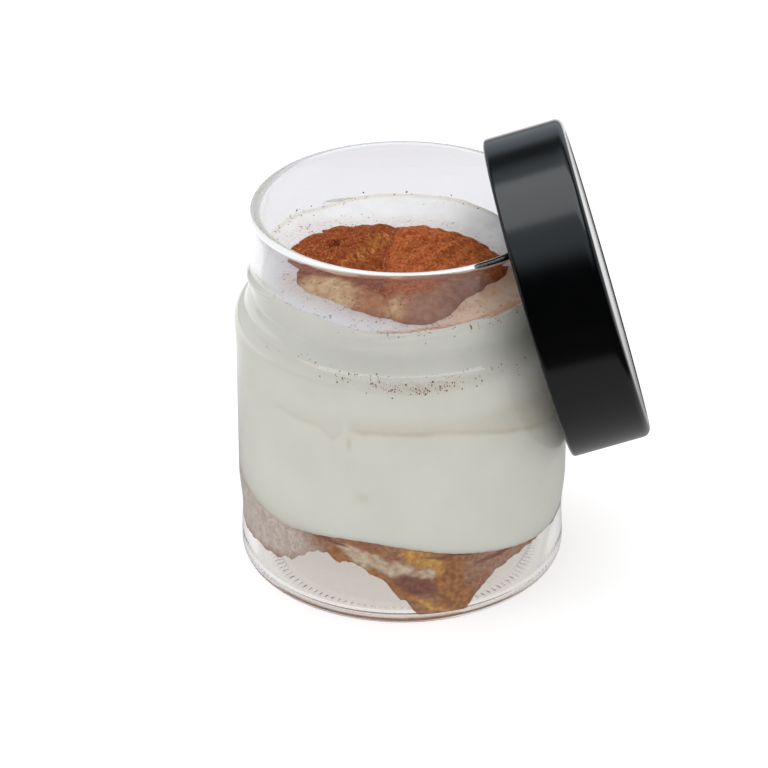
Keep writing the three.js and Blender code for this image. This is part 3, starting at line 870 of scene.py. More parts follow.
def buildCream():
    turns = anglesRound(fill["around"])
    degrees = (np.degrees(turns) + 180.0) % 360.0 - 180.0
    wallRadius = jar["bodyRadius"] - jar["wall"] + fill["intoWall"]
    rings = []
    for radius in np.linspace(1.5, wallRadius - 1.0, fill["lowRings"]):
        rings.append(ringOf(radius, layerHeight(*onCircle(radius, turns)), turns))
    low = layerHeight(*onCircle(wallRadius, turns))
    topRadius = jar["boreRadius"] + fill["intoWall"]
    high = creamTop(*onCircle(topRadius, turns))
    for share in np.linspace(0.0, 1.0, fill["sideRings"]):
        heights = low + (high - low) * share
        fold = bell(heights, foldHeight(degrees), foldLine["halfWidth"])
        radii = innerGlassRadius(heights) + fill["intoWall"] - foldLine["depth"] * foldShare(degrees) * fold
        noise = roughNoise(*onCircle(radii, turns), heights, fill["wallReliefSize"], 47, 2)
        rings.append(ringOf(radii + fill["wallRelief"] * noise, heights, turns))
    for radius in np.linspace(topRadius - 0.3, 0.4, fill["topRings"]):
        rings.append(ringOf(radius, creamTop(*onCircle(radius, turns)), turns))
    bottom = (0, 0, middleHeight(layerHeight))
    top = (0, 0, middleHeight(creamTop))
    points = allPoints(rings, bottom, top)
    piece = meshFromRings("creamFill", rings, bottom, top, creamMarks(points))
    piece.data.materials.append(creamMaterial())
    return piece


# The cocoa-dusted sponge heap: two pieces with a cleft between them

heap = dict(x=-1.3, y=-2.5, halfWidth=22.0, halfDepth=18.6, underside=62.5, edge=66.6, side=1.0,
            crown=4.9, lumps=0.45, crags=0.3, gap=0.04, around=340, crumbs=0.30, crumbSize=1.7,
            undersideSpan=(0.5, 1.0), sideRings=14, topRings=84)
bulges = [dict(by=0.215, toward=-76.0, width=17.0), dict(by=0.12, toward=130.0, width=45.0)]
cleft = dict(start=(0.2, 17.5), bend=(-7.4, -8.2), end=(-2.2, -25.0), width=2.6, depth=1.9)
ridge = dict(start=(-1.8, 14.1), end=(-12.0, -3.9), height=1.4, width=2.2)
# A hollow in the heap's top, dug in and also painted dark as shade
darkHollow = dict(x=-14.0, y=3.0, halfLength=2.4, halfWidth=0.9, depth=1.4, turn=35.0)


def curveBetween(start, bend, end, count=60):
    t = np.linspace(0.0, 1.0, count)[:, None]
    start, bend, end = (np.array(point, float) for point in (start, bend, end))
    return (1 - t) ** 2 * start + 2 * (1 - t) * t * bend + t ** 2 * end


cleftLine = curveBetween(cleft["start"], cleft["bend"], cleft["end"])
ridgeLine = np.array([ridge["start"], ridge["end"]], float)
# Pale crumb that shows beside the ridge, made brighter along the crest as painted highlight
crumbAndCrestLightLine = curveBetween((-2.4, 11.5), (-5.0, -2.5), (-13.0, -7.6))


# Distance from a line of points, negative on its left as the viewer sees it
def besideLine(line, x, y):
    shape = np.shape(x)
    points = np.stack([np.ravel(x), np.ravel(y)], 1)
    nearest = np.full(len(points), np.inf)
    signed = np.zeros(len(points))
    for start, end in zip(line[:-1], line[1:]):
        step = end - start
        fromStart = points - start
        along = np.clip(fromStart @ step / (step @ step), 0.0, 1.0)
        distance = np.hypot(*(fromStart - along[:, None] * step).T)
        cross = step[0] * fromStart[:, 1] - step[1] * fromStart[:, 0]
        closer = distance < nearest
        nearest = np.where(closer, distance, nearest)
        signed = np.where(closer, np.where(cross >= 0, distance, -distance), signed)
    return signed.reshape(shape)


def heapOutline(turn):
    share = 1 + 0.035 * np.sin(3 * turn + 0.6) + 0.025 * np.sin(5 * turn + 2) + 0.015 * np.cos(9 * turn)
    for bulge in bulges:
        off = (np.degrees(turn) - bulge["toward"] + 180.0) % 360.0 - 180.0
        share = share + bulge["by"] * bell(off, 0.0, bulge["width"])
    return share + 0.004 * np.sin(17 * turn + 1) + 0.004 * np.sin(31 * turn)


# 0 at the middle of the heap and 1 on its outline
def heapShare(x, y):
    px, py = (x - heap["x"]) / heap["halfWidth"], (y - heap["y"]) / heap["halfDepth"]
    return np.hypot(px, py) / heapOutline(np.arctan2(py, px))


def hollowShare(x, y):
    turn = math.radians(darkHollow["turn"])
    dx, dy = x - darkHollow["x"], y - darkHollow["y"]
    along = dx * math.cos(turn) + dy * math.sin(turn)
    across = dy * math.cos(turn) - dx * math.sin(turn)
    return np.exp(-(along / darkHollow["halfLength"]) ** 2 - (across / darkHollow["halfWidth"]) ** 2)


def heapTop(x, y):
    out = np.clip(heapShare(x, y), 0.0, 1.0)
    dome = heap["crown"] * np.sqrt(1 - out ** 2)
    valley = cleft["depth"] * np.exp(-(besideLine(cleftLine, x, y) / cleft["width"]) ** 2)
    crest = ridge["height"] * np.exp(-(besideLine(ridgeLine, x, y) / ridge["width"]) ** 2)
    lumps = heap["lumps"] * np.sin(0.62 * x + 1.3) * np.cos(0.71 * y - 0.4)
    crags = heap["crags"] * (np.sin(1.45 * x - 0.9 * y) + 0.7 * np.sin(1.9 * y + 1.1 * x + 2))
    crumbs = heap["crumbs"] * roughNoise(x, y, 0 * x, heap["crumbSize"], 53, 4)
    hollow = darkHollow["depth"] * hollowShare(x, y)
    fade = 1 - 0.92 * out ** 3
    return heap["edge"] + dome + (crest - valley + lumps + crags + crumbs) * fade - hollow


# How far one piece of the heap goes from its middle in each direction
def heapReach(middle, side, turns):
    low, high = np.zeros_like(turns), np.full_like(turns, 50.0)
    for _ in range(26):
        half = (low + high) / 2
        x, y = middle[0] + half * np.cos(turns), middle[1] + half * np.sin(turns)
        inside = (heapShare(x, y) < 1.0) & (side * besideLine(cleftLine, x, y) > heap["gap"] / 2)
        low, high = np.where(inside, half, low), np.where(inside, high, half)
    return low


# Spans are where a change starts and where it ends. Bells are a middle and a half width.
heapLook = dict(
    wobbleSize=1.4, fineSize=0.7,
    crumbLightWander=0.7, crumbLightBell=(0.0, 1.0), crumbLightSpan=(-12.5, -9.0), glow=(0.55, 0.5, 0.9), glowBell=(1.5, 3.0),
    frontWander=0.05, edgeSpan=(0.60, 0.80), frontSpan=(7.0, 11.0),
    beigeWander=1.2, beigeSpan=(-11.5, -8.5),
    spot=dict(x=-2.0, y=-20.5, flatness=0.7, share=0.85), spotBell=(0.0, 1.7), mauveSpan=(-1.5, 1.5),
    cleftShade=0.75, cleftShadeBell=(0.6, 0.5), cleftShadeSpan=(-14.0, -8.0), cleftShadeStrength=(0.6, 0.5), hollow=0.9,
)


# How much of each cocoa tone every point of the heap has, with painted shade in the cleft and the hollow
def heapMarks(points):
    x, y, z = points.T
    wobble = roughNoise(x, y, z, heapLook["wobbleSize"], 61, 3)
    fine = roughNoise(x, y, z, heapLook["fineSize"], 67, 2)
    # Pale crumb beside the ridge, made stronger round the middle of the ridge as painted highlight on the
    # crest
    wandering = besideLine(crumbAndCrestLightLine, x, y) + heapLook["crumbLightWander"] * wobble
    crumbAndCrestLight = bell(wandering, *heapLook["crumbLightBell"]) * smoothStep(-y, *heapLook["crumbLightSpan"])
    least, ridgeGlow, grainy = heapLook["glow"]
    glow = least + ridgeGlow * bell(y, *heapLook["glowBell"]) + grainy * fine
    nearEdge = smoothStep(heapShare(x, y) + heapLook["frontWander"] * wobble, *heapLook["edgeSpan"])
    front = nearEdge * smoothStep(-y, *heapLook["frontSpan"])
    beige = front * (1 - smoothStep(x + heapLook["beigeWander"] * wobble, *heapLook["beigeSpan"]))
    spot = heapLook["spot"]
    fromSpot = np.hypot(x - spot["x"], (y - spot["y"]) * spot["flatness"])
    spotShare = bell(fromSpot, *heapLook["spotBell"]) * spot["share"]
    mauve = front * smoothStep(x + wobble, *heapLook["mauveSpan"])
    # Painted shade along the cleft between the two pieces
    cleftShade = heapLook["cleftShade"] * bell(besideLine(cleftLine, x, y), *heapLook["cleftShadeBell"])
    cleftShade = cleftShade * smoothStep(y, *heapLook["cleftShadeSpan"])
    base, uneven = heapLook["cleftShadeStrength"]
    cleftAndHollowShade = np.maximum(hollowShare(x, y) * heapLook["hollow"], cleftShade * (base + uneven * wobble))
    marks = {"brown": front, "mauve": mauve, "beige": np.maximum(beige, spotShare),
             "crumbAndCrestLight": crumbAndCrestLight * np.clip(glow, 0.0, 1.0), "cleftAndHollowShade": cleftAndHollowShade}
    return {tone: np.clip(share, 0, 1) for tone, share in marks.items()}


def buildHeapPiece(name, side, middle, material):
    turns = anglesRound(heap["around"])
    reach = heapReach(middle, side, turns)
    rings = []

    def ringAt(share, heightRule):
        x, y = middle[0] + reach * share * np.cos(turns), middle[1] + reach * share * np.sin(turns)
        rings.append(np.stack([x, y, heightRule(x, y)], 1))

    def underside(x, y):
        rise = heap["edge"] - heap["side"] - heap["underside"]
        return heap["underside"] + rise * smoothStep(heapShare(x, y), *heap["undersideSpan"])

    for share in (0.2, 0.5, 0.8, 0.97):
        ringAt(share, underside)
    for blend in np.linspace(0.0, 1.0, heap["sideRings"]):
        ringAt(1.0, lambda x, y, b=blend: underside(x, y) * (1 - b) + b * (heapTop(x, y) - 0.12))
    for share in np.concatenate([[0.997, 0.99], np.linspace(0.98, 0.02, heap["topRings"])]):
        ringAt(share, heapTop)
    bottom = (*middle, middleHeight(underside, *middle))
    top = (*middle, middleHeight(heapTop, *middle))
    piece = meshFromRings(name, rings, bottom, top, heapMarks(allPoints(rings, bottom, top)))
    piece.data.materials.append(material)
    return piece


stainAndShadeLook = dict(
    wobbleSize=3.0, wallFrom=0.6, wallTo=0.1,
    line=0.55, lineWander=0.15, lineWidth=0.5, lineShare=(0.8, 0.4),
    above=0.25, aboveRise=0.4, aboveSpan=(46.0, 50.0),
    drip=0.5, dripBell=(-111.0, 0.9), dripRise=(42.5, 1.3),
    seep=0.6, seepWidth=(0.45, 1.3), seepSpan=(115.0, 140.0),
    smudge=0.4, smudgeToward=-106.0, smudgeHeight=30.5, smudgeFlat=0.55, smudgeBell=(0.0, 1.6),
    smudgeBase=0.6,
)
dustLook = dict(
    band=0.35, bandWander=0.3, bandEnds=(20.0, 12.0), thick=(0.2, 0.8), thickBell=(-86.0, 12.0),
    topSpan=(60.0, 64.0), heapSpan=(1.0, 1.25), frontBell=(28.1, 1.1), frontLeft=(-112.0, -94.0),
    frontRight=(-42.0, -30.0), backBell=(28.7, 0.5), backSpan=(0.0, 9.0), heap=0.35, front=0.9, back=0.5,
)
hazeLook = dict(corner=0.85, acrossSpan=(4.0, 12.0), slant=0.6, alongSpan=(10.0, 17.0), heap=0.25,
                heapSpan=(0.0, 8.0), front=0.6, back=0.3)


# 1 along the band of specks under the shoulder, fading out at both ends
def alongSpecks(turn, ends):
    start, end = specksBand["start"], specksBand["end"]
    return smoothStep(turn, start, start + ends[0]) * (1 - smoothStep(turn, end - ends[1], end))


# The fold line, whose dark band is painted shade in the crease, its drip and what seeps out of the sponge
def creamStainAndShade(turn, points, wobble):
    x, y, z = points.T
    look = stainAndShadeLook
    base, uneven = look["lineShare"]
    # The dark band along the fold is painted shade in the crease
    line = bell(z + look["lineWander"] * wobble, foldHeight(turn), look["lineWidth"])
    line = line * foldShare(turn) * (base + uneven * wobble)
    above = look["above"] * smoothStep(z, foldHeight(turn), foldHeight(turn) + look["aboveRise"])
    above = above * (1 - smoothStep(z, *look["aboveSpan"]))
    drip = look["drip"] * bell(turn, *look["dripBell"]) * bell(z, *look["dripRise"])
    narrow, wider = look["seepWidth"]
    seepWidth = narrow + wider * smoothStep(-turn, *look["seepSpan"])
    seep = np.exp(-np.maximum(0.0, z - layerHeight(x, y)) / seepWidth)
    fromSmudge = np.hypot((turn - look["smudgeToward"]) * look["smudgeFlat"], z - look["smudgeHeight"])
    smudge = bell(fromSmudge, *look["smudgeBell"]) * (look["smudgeBase"] + wobble)
    atFold = look["line"] * line + above * foldShare(turn) + drip
    return atFold + look["seep"] * seep + look["smudge"] * smudge


# Where the cream is stained beige and shaded along its fold, where cocoa fell on it, and the top, filled in
# last, whose paler colour is partly painted light
def creamMarks(points):
    x, y, z = points.T
    turn, radius = turnOf(x, y), np.hypot(x, y)
    glass = innerGlassRadius(z)
    onWall = smoothStep(radius, glass - stainAndShadeLook["wallFrom"], glass - stainAndShadeLook["wallTo"])
    wobble = roughNoise(x, y, z, stainAndShadeLook["wobbleSize"], 71, 3)
    thin, more = dustLook["thick"]
    thick = thin + more * bell(turn, *dustLook["thickBell"])
    band = bell(z + dustLook["bandWander"] * wobble, specksHeight(turn), specksBand["halfWidth"])
    band = band * alongSpecks(turn, dustLook["bandEnds"]) * onWall * thick
    onTop = (1 - onWall) * smoothStep(z, *dustLook["topSpan"])
    nearHeap = 1 - smoothStep(heapShare(x, y), *dustLook["heapSpan"])
    front = bell(radius, *dustLook["frontBell"]) * smoothStep(turn, *dustLook["frontLeft"])
    front = front * (1 - smoothStep(turn, *dustLook["frontRight"]))
    back = bell(radius, *dustLook["backBell"]) * smoothStep(y, *dustLook["backSpan"])
    fallen = dustLook["heap"] * nearHeap + dustLook["front"] * front + dustLook["back"] * back
    corner = smoothStep(x + wobble, *hazeLook["acrossSpan"])
    corner = corner * smoothStep(-y + hazeLook["slant"] * x, *hazeLook["alongSpan"])
    heapHaze = hazeLook["heap"] * nearHeap * smoothStep(-y, *hazeLook["heapSpan"])
    haze = hazeLook["corner"] * corner + heapHaze + hazeLook["front"] * front + hazeLook["back"] * back
    return {"stainAndFoldShade": np.clip(creamStainAndShade(turn, points, wobble) * onWall, 0.0, 1.0),
            "dust": np.clip(dustLook["band"] * band + onTop * fallen, 0.0, 1.0),
            "haze": onTop * np.clip(haze, 0.0, 1.0), "openAndLitTop": onTop}


creamFill = buildCream()
print("stage 5: cream,", len(creamFill.data.polygons), "faces")

cocoaPalette = dict(left=rgb(0.25, 0.044, 0.012), leftOther=rgb(0.46, 0.115, 0.034),
                    right=rgb(0.42, 0.085, 0.022), rightOther=rgb(0.72, 0.21, 0.07))
leftMiddle, rightMiddle = (-13.5, -2.0), (8.0, -4.0)
cocoaLeft = buildHeapPiece("cocoaSpongeLeft", -1, leftMiddle,
                           cocoaMaterial("cocoaLeft", cocoaPalette["left"], cocoaPalette["leftOther"]))
cocoaRight = buildHeapPiece("cocoaSpongeRight", 1, rightMiddle,
                            cocoaMaterial("cocoaRight", cocoaPalette["right"], cocoaPalette["rightOther"]))
print("stage 6: heap,", len(cocoaLeft.data.polygons) + len(cocoaRight.data.polygons), "faces")

# Loose cocoa: grains on the heap, specks on the cream and against the glass


def buildSprinkleTree():
    inputs = [("Geometry", "NodeSocketGeometry", None), ("Grains per square metre", "NodeSocketFloat", 1e6),
              ("Smallest", "NodeSocketFloat", 0.0001), ("Largest", "NodeSocketFloat", 0.0003),
              ("Flatness", "NodeSocketFloat", 0.6), ("Seed", "NodeSocketInt", 1),
              ("Finish", "NodeSocketMaterial", None)]
    outputs = [("Geometry", "NodeSocketGeometry")]
    tree, start, end = newGroup("sprinkledCocoa", "GeometryNodeTree", inputs, outputs)
    fallen = addNode(tree, "GeometryNodeInputNamedAttribute", data_type="FLOAT")
    fallen.inputs["Name"].default_value = "fallen"
    most = start.outputs["Grains per square metre"]
    density = addMath(tree, "MULTIPLY", fallen.outputs["Attribute"], most)
    scatter = addNode(tree, "GeometryNodeDistributePointsOnFaces", distribute_method="RANDOM")
    wire(tree, start, "Geometry", scatter, "Mesh")
    tree.links.new(density, scatter.inputs["Density"])
    wire(tree, start, "Seed", scatter, "Seed")
    grain = addNode(tree, "GeometryNodeMeshIcoSphere")
    grain.inputs["Radius"].default_value = 0.5
    grain.inputs["Subdivisions"].default_value = 1
    size = addNode(tree, "FunctionNodeRandomValue", data_type="FLOAT")
    cubed = addMath(tree, "POWER", size.outputs[1], 3.0)
    wire(tree, start, "Seed", size, "Seed")
    span = addMath(tree, "SUBTRACT", start.outputs["Largest"], start.outputs["Smallest"])
    wide = addMath(tree, "ADD", start.outputs["Smallest"], addMath(tree, "MULTIPLY", cubed, span))
    scale = addNode(tree, "ShaderNodeCombineXYZ")
    tree.links.new(wide, scale.inputs["X"])
    tree.links.new(addMath(tree, "MULTIPLY", wide, 0.8), scale.inputs["Y"])
    tree.links.new(addMath(tree, "MULTIPLY", wide, start.outputs["Flatness"]), scale.inputs["Z"])
    spin = addNode(tree, "FunctionNodeRandomValue", data_type="FLOAT")
    spin.inputs[3].default_value = 6.283
    wire(tree, start, "Seed", spin, "Seed")
    spinAxis = addNode(tree, "ShaderNodeCombineXYZ")
    wire(tree, spin, 1, spinAxis, "Z")
    turned = addNode(tree, "FunctionNodeRotateRotation", rotation_space="LOCAL")
    wire(tree, scatter, "Rotation", turned, "Rotation")
    tree.links.new(spinAxis.outputs[0], turned.inputs["Rotate By"])
    placed = addNode(tree, "GeometryNodeInstanceOnPoints")
    wire(tree, scatter, "Points", placed, "Points")
    wire(tree, grain, "Mesh", placed, "Instance")
    wire(tree, turned, "Rotation", placed, "Rotation")
    wire(tree, scale, 0, placed, "Scale")
    realize = addNode(tree, "GeometryNodeRealizeInstances")
    wire(tree, placed, "Instances", realize, "Geometry")
    uneven = addNode(tree, "ShaderNodeTexNoise", noise_dimensions="3D")
    uneven.inputs["Scale"].default_value = 4000.0
    position = addNode(tree, "GeometryNodeInputPosition")
    wire(tree, position, "Position", uneven, "Vector")
    centred = addNode(tree, "ShaderNodeVectorMath", operation="SUBTRACT")
    wire(tree, uneven, "Color", centred, 0)
    centred.inputs[1].default_value = (0.5, 0.5, 0.5)
    jagged = addNode(tree, "ShaderNodeVectorMath", operation="SCALE")
    wire(tree, centred, 0, jagged, 0)
    tree.links.new(addMath(tree, "MULTIPLY", start.outputs["Smallest"], 0.6), jagged.inputs["Scale"])
    moved = addNode(tree, "GeometryNodeSetPosition")
    wire(tree, realize, "Geometry", moved, "Geometry")
    wire(tree, jagged, 0, moved, "Offset")
    finished = addNode(tree, "GeometryNodeSetMaterial")
    wire(tree, moved, "Geometry", finished, "Geometry")
    wire(tree, start, "Finish", finished, "Material")
    wire(tree, finished, "Geometry", end, "Geometry")
    return tree


sprinkleTree = buildSprinkleTree()


# How much cocoa falls on each point, from its place in millimetres round the jar's axis
def setFallen(thing, rule):
    mesh = thing.data
    flat = np.zeros(len(mesh.vertices) * 3)
    mesh.vertices.foreach_get("co", flat)
    points = (flat.reshape(-1, 3) - jarAxis) / mm
    normals = np.zeros(len(mesh.vertices) * 3)
    mesh.vertices.foreach_get("normal", normals)
    values = rule(points, normals.reshape(-1, 3))
    mesh.attributes.new("fallen", "FLOAT", "POINT").data.foreach_set("value", np.clip(values, 0.0, 2.5))


# One plain mesh from several
def joined(name, things):
    first = things[0]
    with bpy.context.temp_override(active_object=first, selected_editable_objects=things, object=first):
        bpy.ops.object.join()
    first.name = first.data.name = name
    return first


grainFall = dict(clumps=(0.6, 0.4), clumpSize=2.4, edgeSpan=(0.62, 0.85), frontSpan=(7.0, 11.0),
                 flatSpan=(0.1, 0.5), lowest=66.9, sparser=0.9)
speckFall = dict(
    wobbleSize=2.2, patches=(0.5, 0.9), wallNormal=0.6,
    band=0.75, bandEnds=(15.0, 12.0), bandRise=0.2, thick=(0.30, 0.7), thickBell=(-92.0, 24.0),
    settled=3.0, settledDrop=0.7, settledWidth=0.35, settledBell=(-86.0, 9.0),
    onCream=0.45, creamLow=64, heap=0.35, heapSpan=(0.98, 1.30), front=0.5, frontSpan=(12.0, 20.0),
    backBell=(28.6, 0.7), backSpan=(0.0, 8.0), backShare=(0.5, 0.8), backLeft=(2.0, 14.0), everywhere=0.03,
    line=0.4, lineDrop=0.8, lineWidth=0.8, lineLow=62, lineLeft=(-125, -100), lineRight=-15,
)
glassFall = dict(backSpan=(40.0, 80.0), leftSpan=(100.0, 140.0), left=0.8, least=0.2, wobbleSize=2.5)


def fallenOnHeap(points, normals):
    x, y, z = points.T
    base, uneven = grainFall["clumps"]
    clumps = base + uneven * roughNoise(x, y, 0 * x, grainFall["clumpSize"], 81, 3)
    flank = smoothStep(heapShare(x, y), *grainFall["edgeSpan"]) * smoothStep(-y, *grainFall["frontSpan"])
    fallen = smoothStep(normals[:, 2], *grainFall["flatSpan"]) * clumps * (z > grainFall["lowest"])
    return fallen * (1 - grainFall["sparser"] * flank)


def fallenOnCream(points, normals):
    x, y, z = points.T
    fall = speckFall
    turn, radius = turnOf(x, y), np.hypot(x, y)
    base, uneven = fall["patches"]
    patches = np.clip(base + uneven * roughNoise(x, y, z, fall["wobbleSize"], 83, 3), 0.0, 1.0)
    onWall = normals[:, 2] < fall["wallNormal"]
    thin, more = fall["thick"]
    thick = thin + more * bell(turn, *fall["thickBell"])
    band = bell(z, specksHeight(turn) + fall["bandRise"], specksBand["halfWidth"])
    band = band * alongSpecks(turn, fall["bandEnds"]) * thick * onWall
    settled = bell(z, specksHeight(turn) - fall["settledDrop"], fall["settledWidth"])
    settled = settled * bell(turn, *fall["settledBell"]) * onWall
    nearHeap = 1 - smoothStep(heapShare(x, y), *fall["heapSpan"])
    front = smoothStep(-y, *fall["frontSpan"]) * fall["front"]
    least, leftMore = fall["backShare"]
    back = bell(radius, *fall["backBell"]) * smoothStep(y, *fall["backSpan"])
    back = back * (least + leftMore * smoothStep(-x, *fall["backLeft"]))
    onTop = ~onWall * (z > fall["creamLow"])
    onCream = onTop * (fall["heap"] * nearHeap + front + back + fall["everywhere"])
    line = bell(z, creamTop(x, y) - fall["lineDrop"], fall["lineWidth"]) * onWall * (z > fall["lineLow"])
    line = line * smoothStep(turn, *fall["lineLeft"]) * (turn < fall["lineRight"])
    onGlass = fall["band"] * band + fall["settled"] * settled
    return (onGlass + fall["onCream"] * onCream + fall["line"] * line) * patches


# The strip of inner glass just above the cream, that a few specks cling to
def buildWallBand():
    turns = anglesRound(240)
    radius = jar["boreRadius"] - 0.02
    rings = []
    for rise in (0.05, 0.3, 0.6, 0.9):
        heights = creamTop(*onCircle(radius, turns)) + rise
        rings.append(ringOf(radius, heights, turns))
    band = meshFromRings("glassBand", rings, (0, 0, 90), (0, 0, 90.1))
    shape = bmesh.new()
    shape.from_mesh(band.data)
    shape.verts.ensure_lookup_table()
    bmesh.ops.delete(shape, geom=[shape.verts[0], shape.verts[-1]], context="VERTS")
    shape.to_mesh(band.data)
    shape.free()
    return band


def fallenOnBand(points, normals):
    x, y, z = points.T
    turn = turnOf(x, y)
    back = smoothStep(turn, *glassFall["backSpan"])
    left = smoothStep(turn, *glassFall["leftSpan"]) * glassFall["left"]
    patches = np.clip(0.5 + roughNoise(x, y, z, glassFall["wobbleSize"], 87, 2), 0, 1)
    return back * (glassFall["least"] + left) * patches


def sprinkle(source, rule, name, perSquareMillimetre, smallest, largest, flatness, seed, material):
    setFallen(source, rule)
    values = {
        "Grains per square metre": perSquareMillimetre * 1e6, "Smallest": smallest * mm,
        "Largest": largest * mm, "Flatness": flatness, "Seed": seed, "Finish": material,
    }
    piece = runTree(source, sprinkleTree, values, name)
    source.data.attributes.remove(source.data.attributes["fallen"])
    return piece


grainFinish = grainMaterial("cocoaGrain", rgb(0.20, 0.04, 0.012), rgb(0.72, 0.30, 0.09))
speckFinish = grainMaterial("cocoaSpeck", rgb(0.10, 0.035, 0.018), rgb(0.42, 0.17, 0.07))
grainsLeft = sprinkle(cocoaLeft, fallenOnHeap, "grainsLeft", 10.0, 0.12, 0.42, 0.7, 5, grainFinish)
grainsRight = sprinkle(cocoaRight, fallenOnHeap, "grainsRight", 10.0, 0.12, 0.42, 0.7, 6, grainFinish)
cocoaGrains = joined("cocoaGrains", [grainsLeft, grainsRight])
specksOnCream = sprinkle(creamFill, fallenOnCream, "specksOnCream", 9.0, 0.1, 0.46, 0.45, 7, speckFinish)
glassBand = buildWallBand()
specksOnGlass = sprinkle(glassBand, fallenOnBand, "specksOnGlass", 2.0, 0.15, 0.7, 0.4, 8, speckFinish)
removeObject(glassBand)
cocoaSpecks = joined("cocoaSpecks", [specksOnCream, specksOnGlass])
looseFaces = len(cocoaGrains.data.polygons) + len(cocoaSpecks.data.polygons)
print("stage 7: cocoa grains and specks,", looseFaces, "faces")

# The twist-off lid, hooked over the rim

lid = dict(radius=34.14, height=16.96, sheet=0.7, corner=1.8, innerCorner=1.1, curl=0.8,
           panelRadius=31.8, panelStep=0.4, stepWidth=0.9, bend=0.45, bead=0.35,
           centre=(26.1, 0.0, 58.2), lean=16.1, toward=1.8, around=300)
lidLugs = dict(count=4, depth=1.5, halfSpan=6.5)
sealRing = dict(inner=29.4, outer=33.25, thick=0.75, bond=0.05)


def lidProfile():
    inner, corner = lid["radius"] - lid["sheet"], lid["innerCorner"]
    under, panelTop = lid["height"] - lid["sheet"], lid["height"] - lid["panelStep"]
    panelUnder = panelTop - lid["sheet"]
    foot = lid["panelRadius"] - lid["stepWidth"]
    points = straight((0, panelUnder), (foot - lid["bend"], panelUnder), 10)
    points += straight(points[-1], (lid["panelRadius"] - 0.2, under), 4)
    points += straight(points[-1], (inner - corner, under), 2)
    points += arcPoints((inner - corner, under - corner), corner, 90, 0, 8)[1:]
    points += straight(points[-1], (inner, lid["curl"] * 2 + 0.4), 10)
    points += straight(points[-1], (lid["radius"] - 2 * lid["curl"], lid["curl"] + 0.1), 3)
    points += arcPoints((lid["radius"] - lid["curl"], lid["curl"]), lid["curl"], -180, -8, 14)
    points += straight(points[-1], (lid["radius"], lid["curl"] + 0.5), 2)
    points += straight(points[-1], (lid["radius"], lid["height"] - lid["corner"]), 12)
    shoulder = (lid["radius"] - lid["corner"], lid["height"] - lid["corner"])
    points += arcPoints(shoulder, lid["corner"], 0, 90, 12)[1:]
    edge = lid["panelRadius"] - 0.15
    points += straight(points[-1], (edge + 0.2, lid["height"]), 1)
    points += arcPoints((edge, lid["height"] - lid["bead"]), lid["bead"], 70, 160, 5)
    points += straight(points[-1], (foot, panelTop + 0.12), 3)
    points += straight(points[-1], (foot - 0.3, panelTop), 2)
    points += straight(points[-1], (0, panelTop), 14)[:-1]
    return points


# From the lid's own frame, open face at height 0, to how it leans on the rim
def lidTransform(points):
    tip = Matrix.Rotation(math.radians(90 - lid["lean"]), 3, "Y")
    swing = Matrix.Rotation(math.radians(lid["toward"]), 3, "Z")
    return (points @ np.array(tip).T + np.array(lid["centre"])) @ np.array(swing).T


def lugShare(turns):
    share = np.zeros_like(turns)
    for number in range(lidLugs["count"]):
        off = (np.degrees(turns) - number * 360 / lidLugs["count"] + 180.0) % 360.0 - 180.0
        past = smoothStep(np.abs(off), lidLugs["halfSpan"] * 0.7, lidLugs["halfSpan"] * 1.25)
        share = np.maximum(share, 1 - past)
    return share


def buildLid():
    turns = anglesRound(lid["around"])
    share = lugShare(turns)
    rings = []
    for radius, height in lidProfile():
        ring = np.full_like(turns, radius)
        innerCurl = radius < lid["radius"] - lid["sheet"] + 0.3 and height < 2.0
        if innerCurl:
            reachIn = 1 - max(0.0, radius - (lid["radius"] - 2 * lid["curl"])) / (lid["curl"] + 0.3)
            ring = ring - lidLugs["depth"] * share * max(0.0, min(1.0, reachIn)) * (height < 1.75)
        rings.append(lidTransform(ringOf(ring, height, turns)))
    under = lidTransform(np.array([[0, 0, lid["height"] - lid["panelStep"] - lid["sheet"]]]))[0]
    top = lidTransform(np.array([[0, 0, lid["height"] - lid["panelStep"]]]))[0]
    piece = meshFromRings("lidShell", rings, under, top)
    piece.data.materials.append(enamelMaterial())
    return piece


# The soft ring in the lid that seals on the rim, laid in the channel round the panel
def buildSealRing():
    turns = anglesRound(lid["around"])
    under = lid["height"] - lid["sheet"]
    panelUnder = under - lid["panelStep"]
    foot, bond = lid["panelRadius"] - lid["stepWidth"] - lid["bend"], sealRing["bond"]
    loop = [(sealRing["inner"], panelUnder + bond), (foot, panelUnder + bond),
            (lid["panelRadius"] - 0.2, under + bond), (sealRing["outer"] - 0.9, under + bond),
            (sealRing["outer"] - 0.25, under - 0.3), (sealRing["outer"], under - 0.75)]
    loop += arcPoints((sealRing["outer"] - 0.4, under - 0.9), 0.4, 0, -90, 4)
    loop += straight(loop[-1], (foot, panelUnder - sealRing["thick"] * 0.5), 4)
    loop += arcPoints((sealRing["inner"] + 0.3, panelUnder - 0.08), 0.3, -90, -180, 4)
    points = np.concatenate([lidTransform(ringOf(radius, height, turns)) for radius, height in loop])
    count, rows = len(turns), len(loop)
    faces = [(row * count + a, (row + 1) % rows * count + a, (row + 1) % rows * count + (a + 1) % count,
              row * count + (a + 1) % count) for row in range(rows) for a in range(count)]
    mesh = bpy.data.meshes.new("sealRing")
    mesh.from_pydata((points * mm + jarAxis).tolist(), [], faces)
    mesh.polygons.foreach_set("use_smooth", [True] * len(mesh.polygons))
    shape = bmesh.new()
    shape.from_mesh(mesh)
    bmesh.ops.recalc_face_normals(shape, faces=shape.faces)
    shape.to_mesh(mesh)
    shape.free()
    mesh.materials.append(plainMaterial("sealRing", **linerLook))
    return addObject("sealRing", mesh)


lidShell = buildLid()
sealRingPiece = buildSealRing()
print("stage 8: lid,", len(lidShell.data.polygons), "faces")

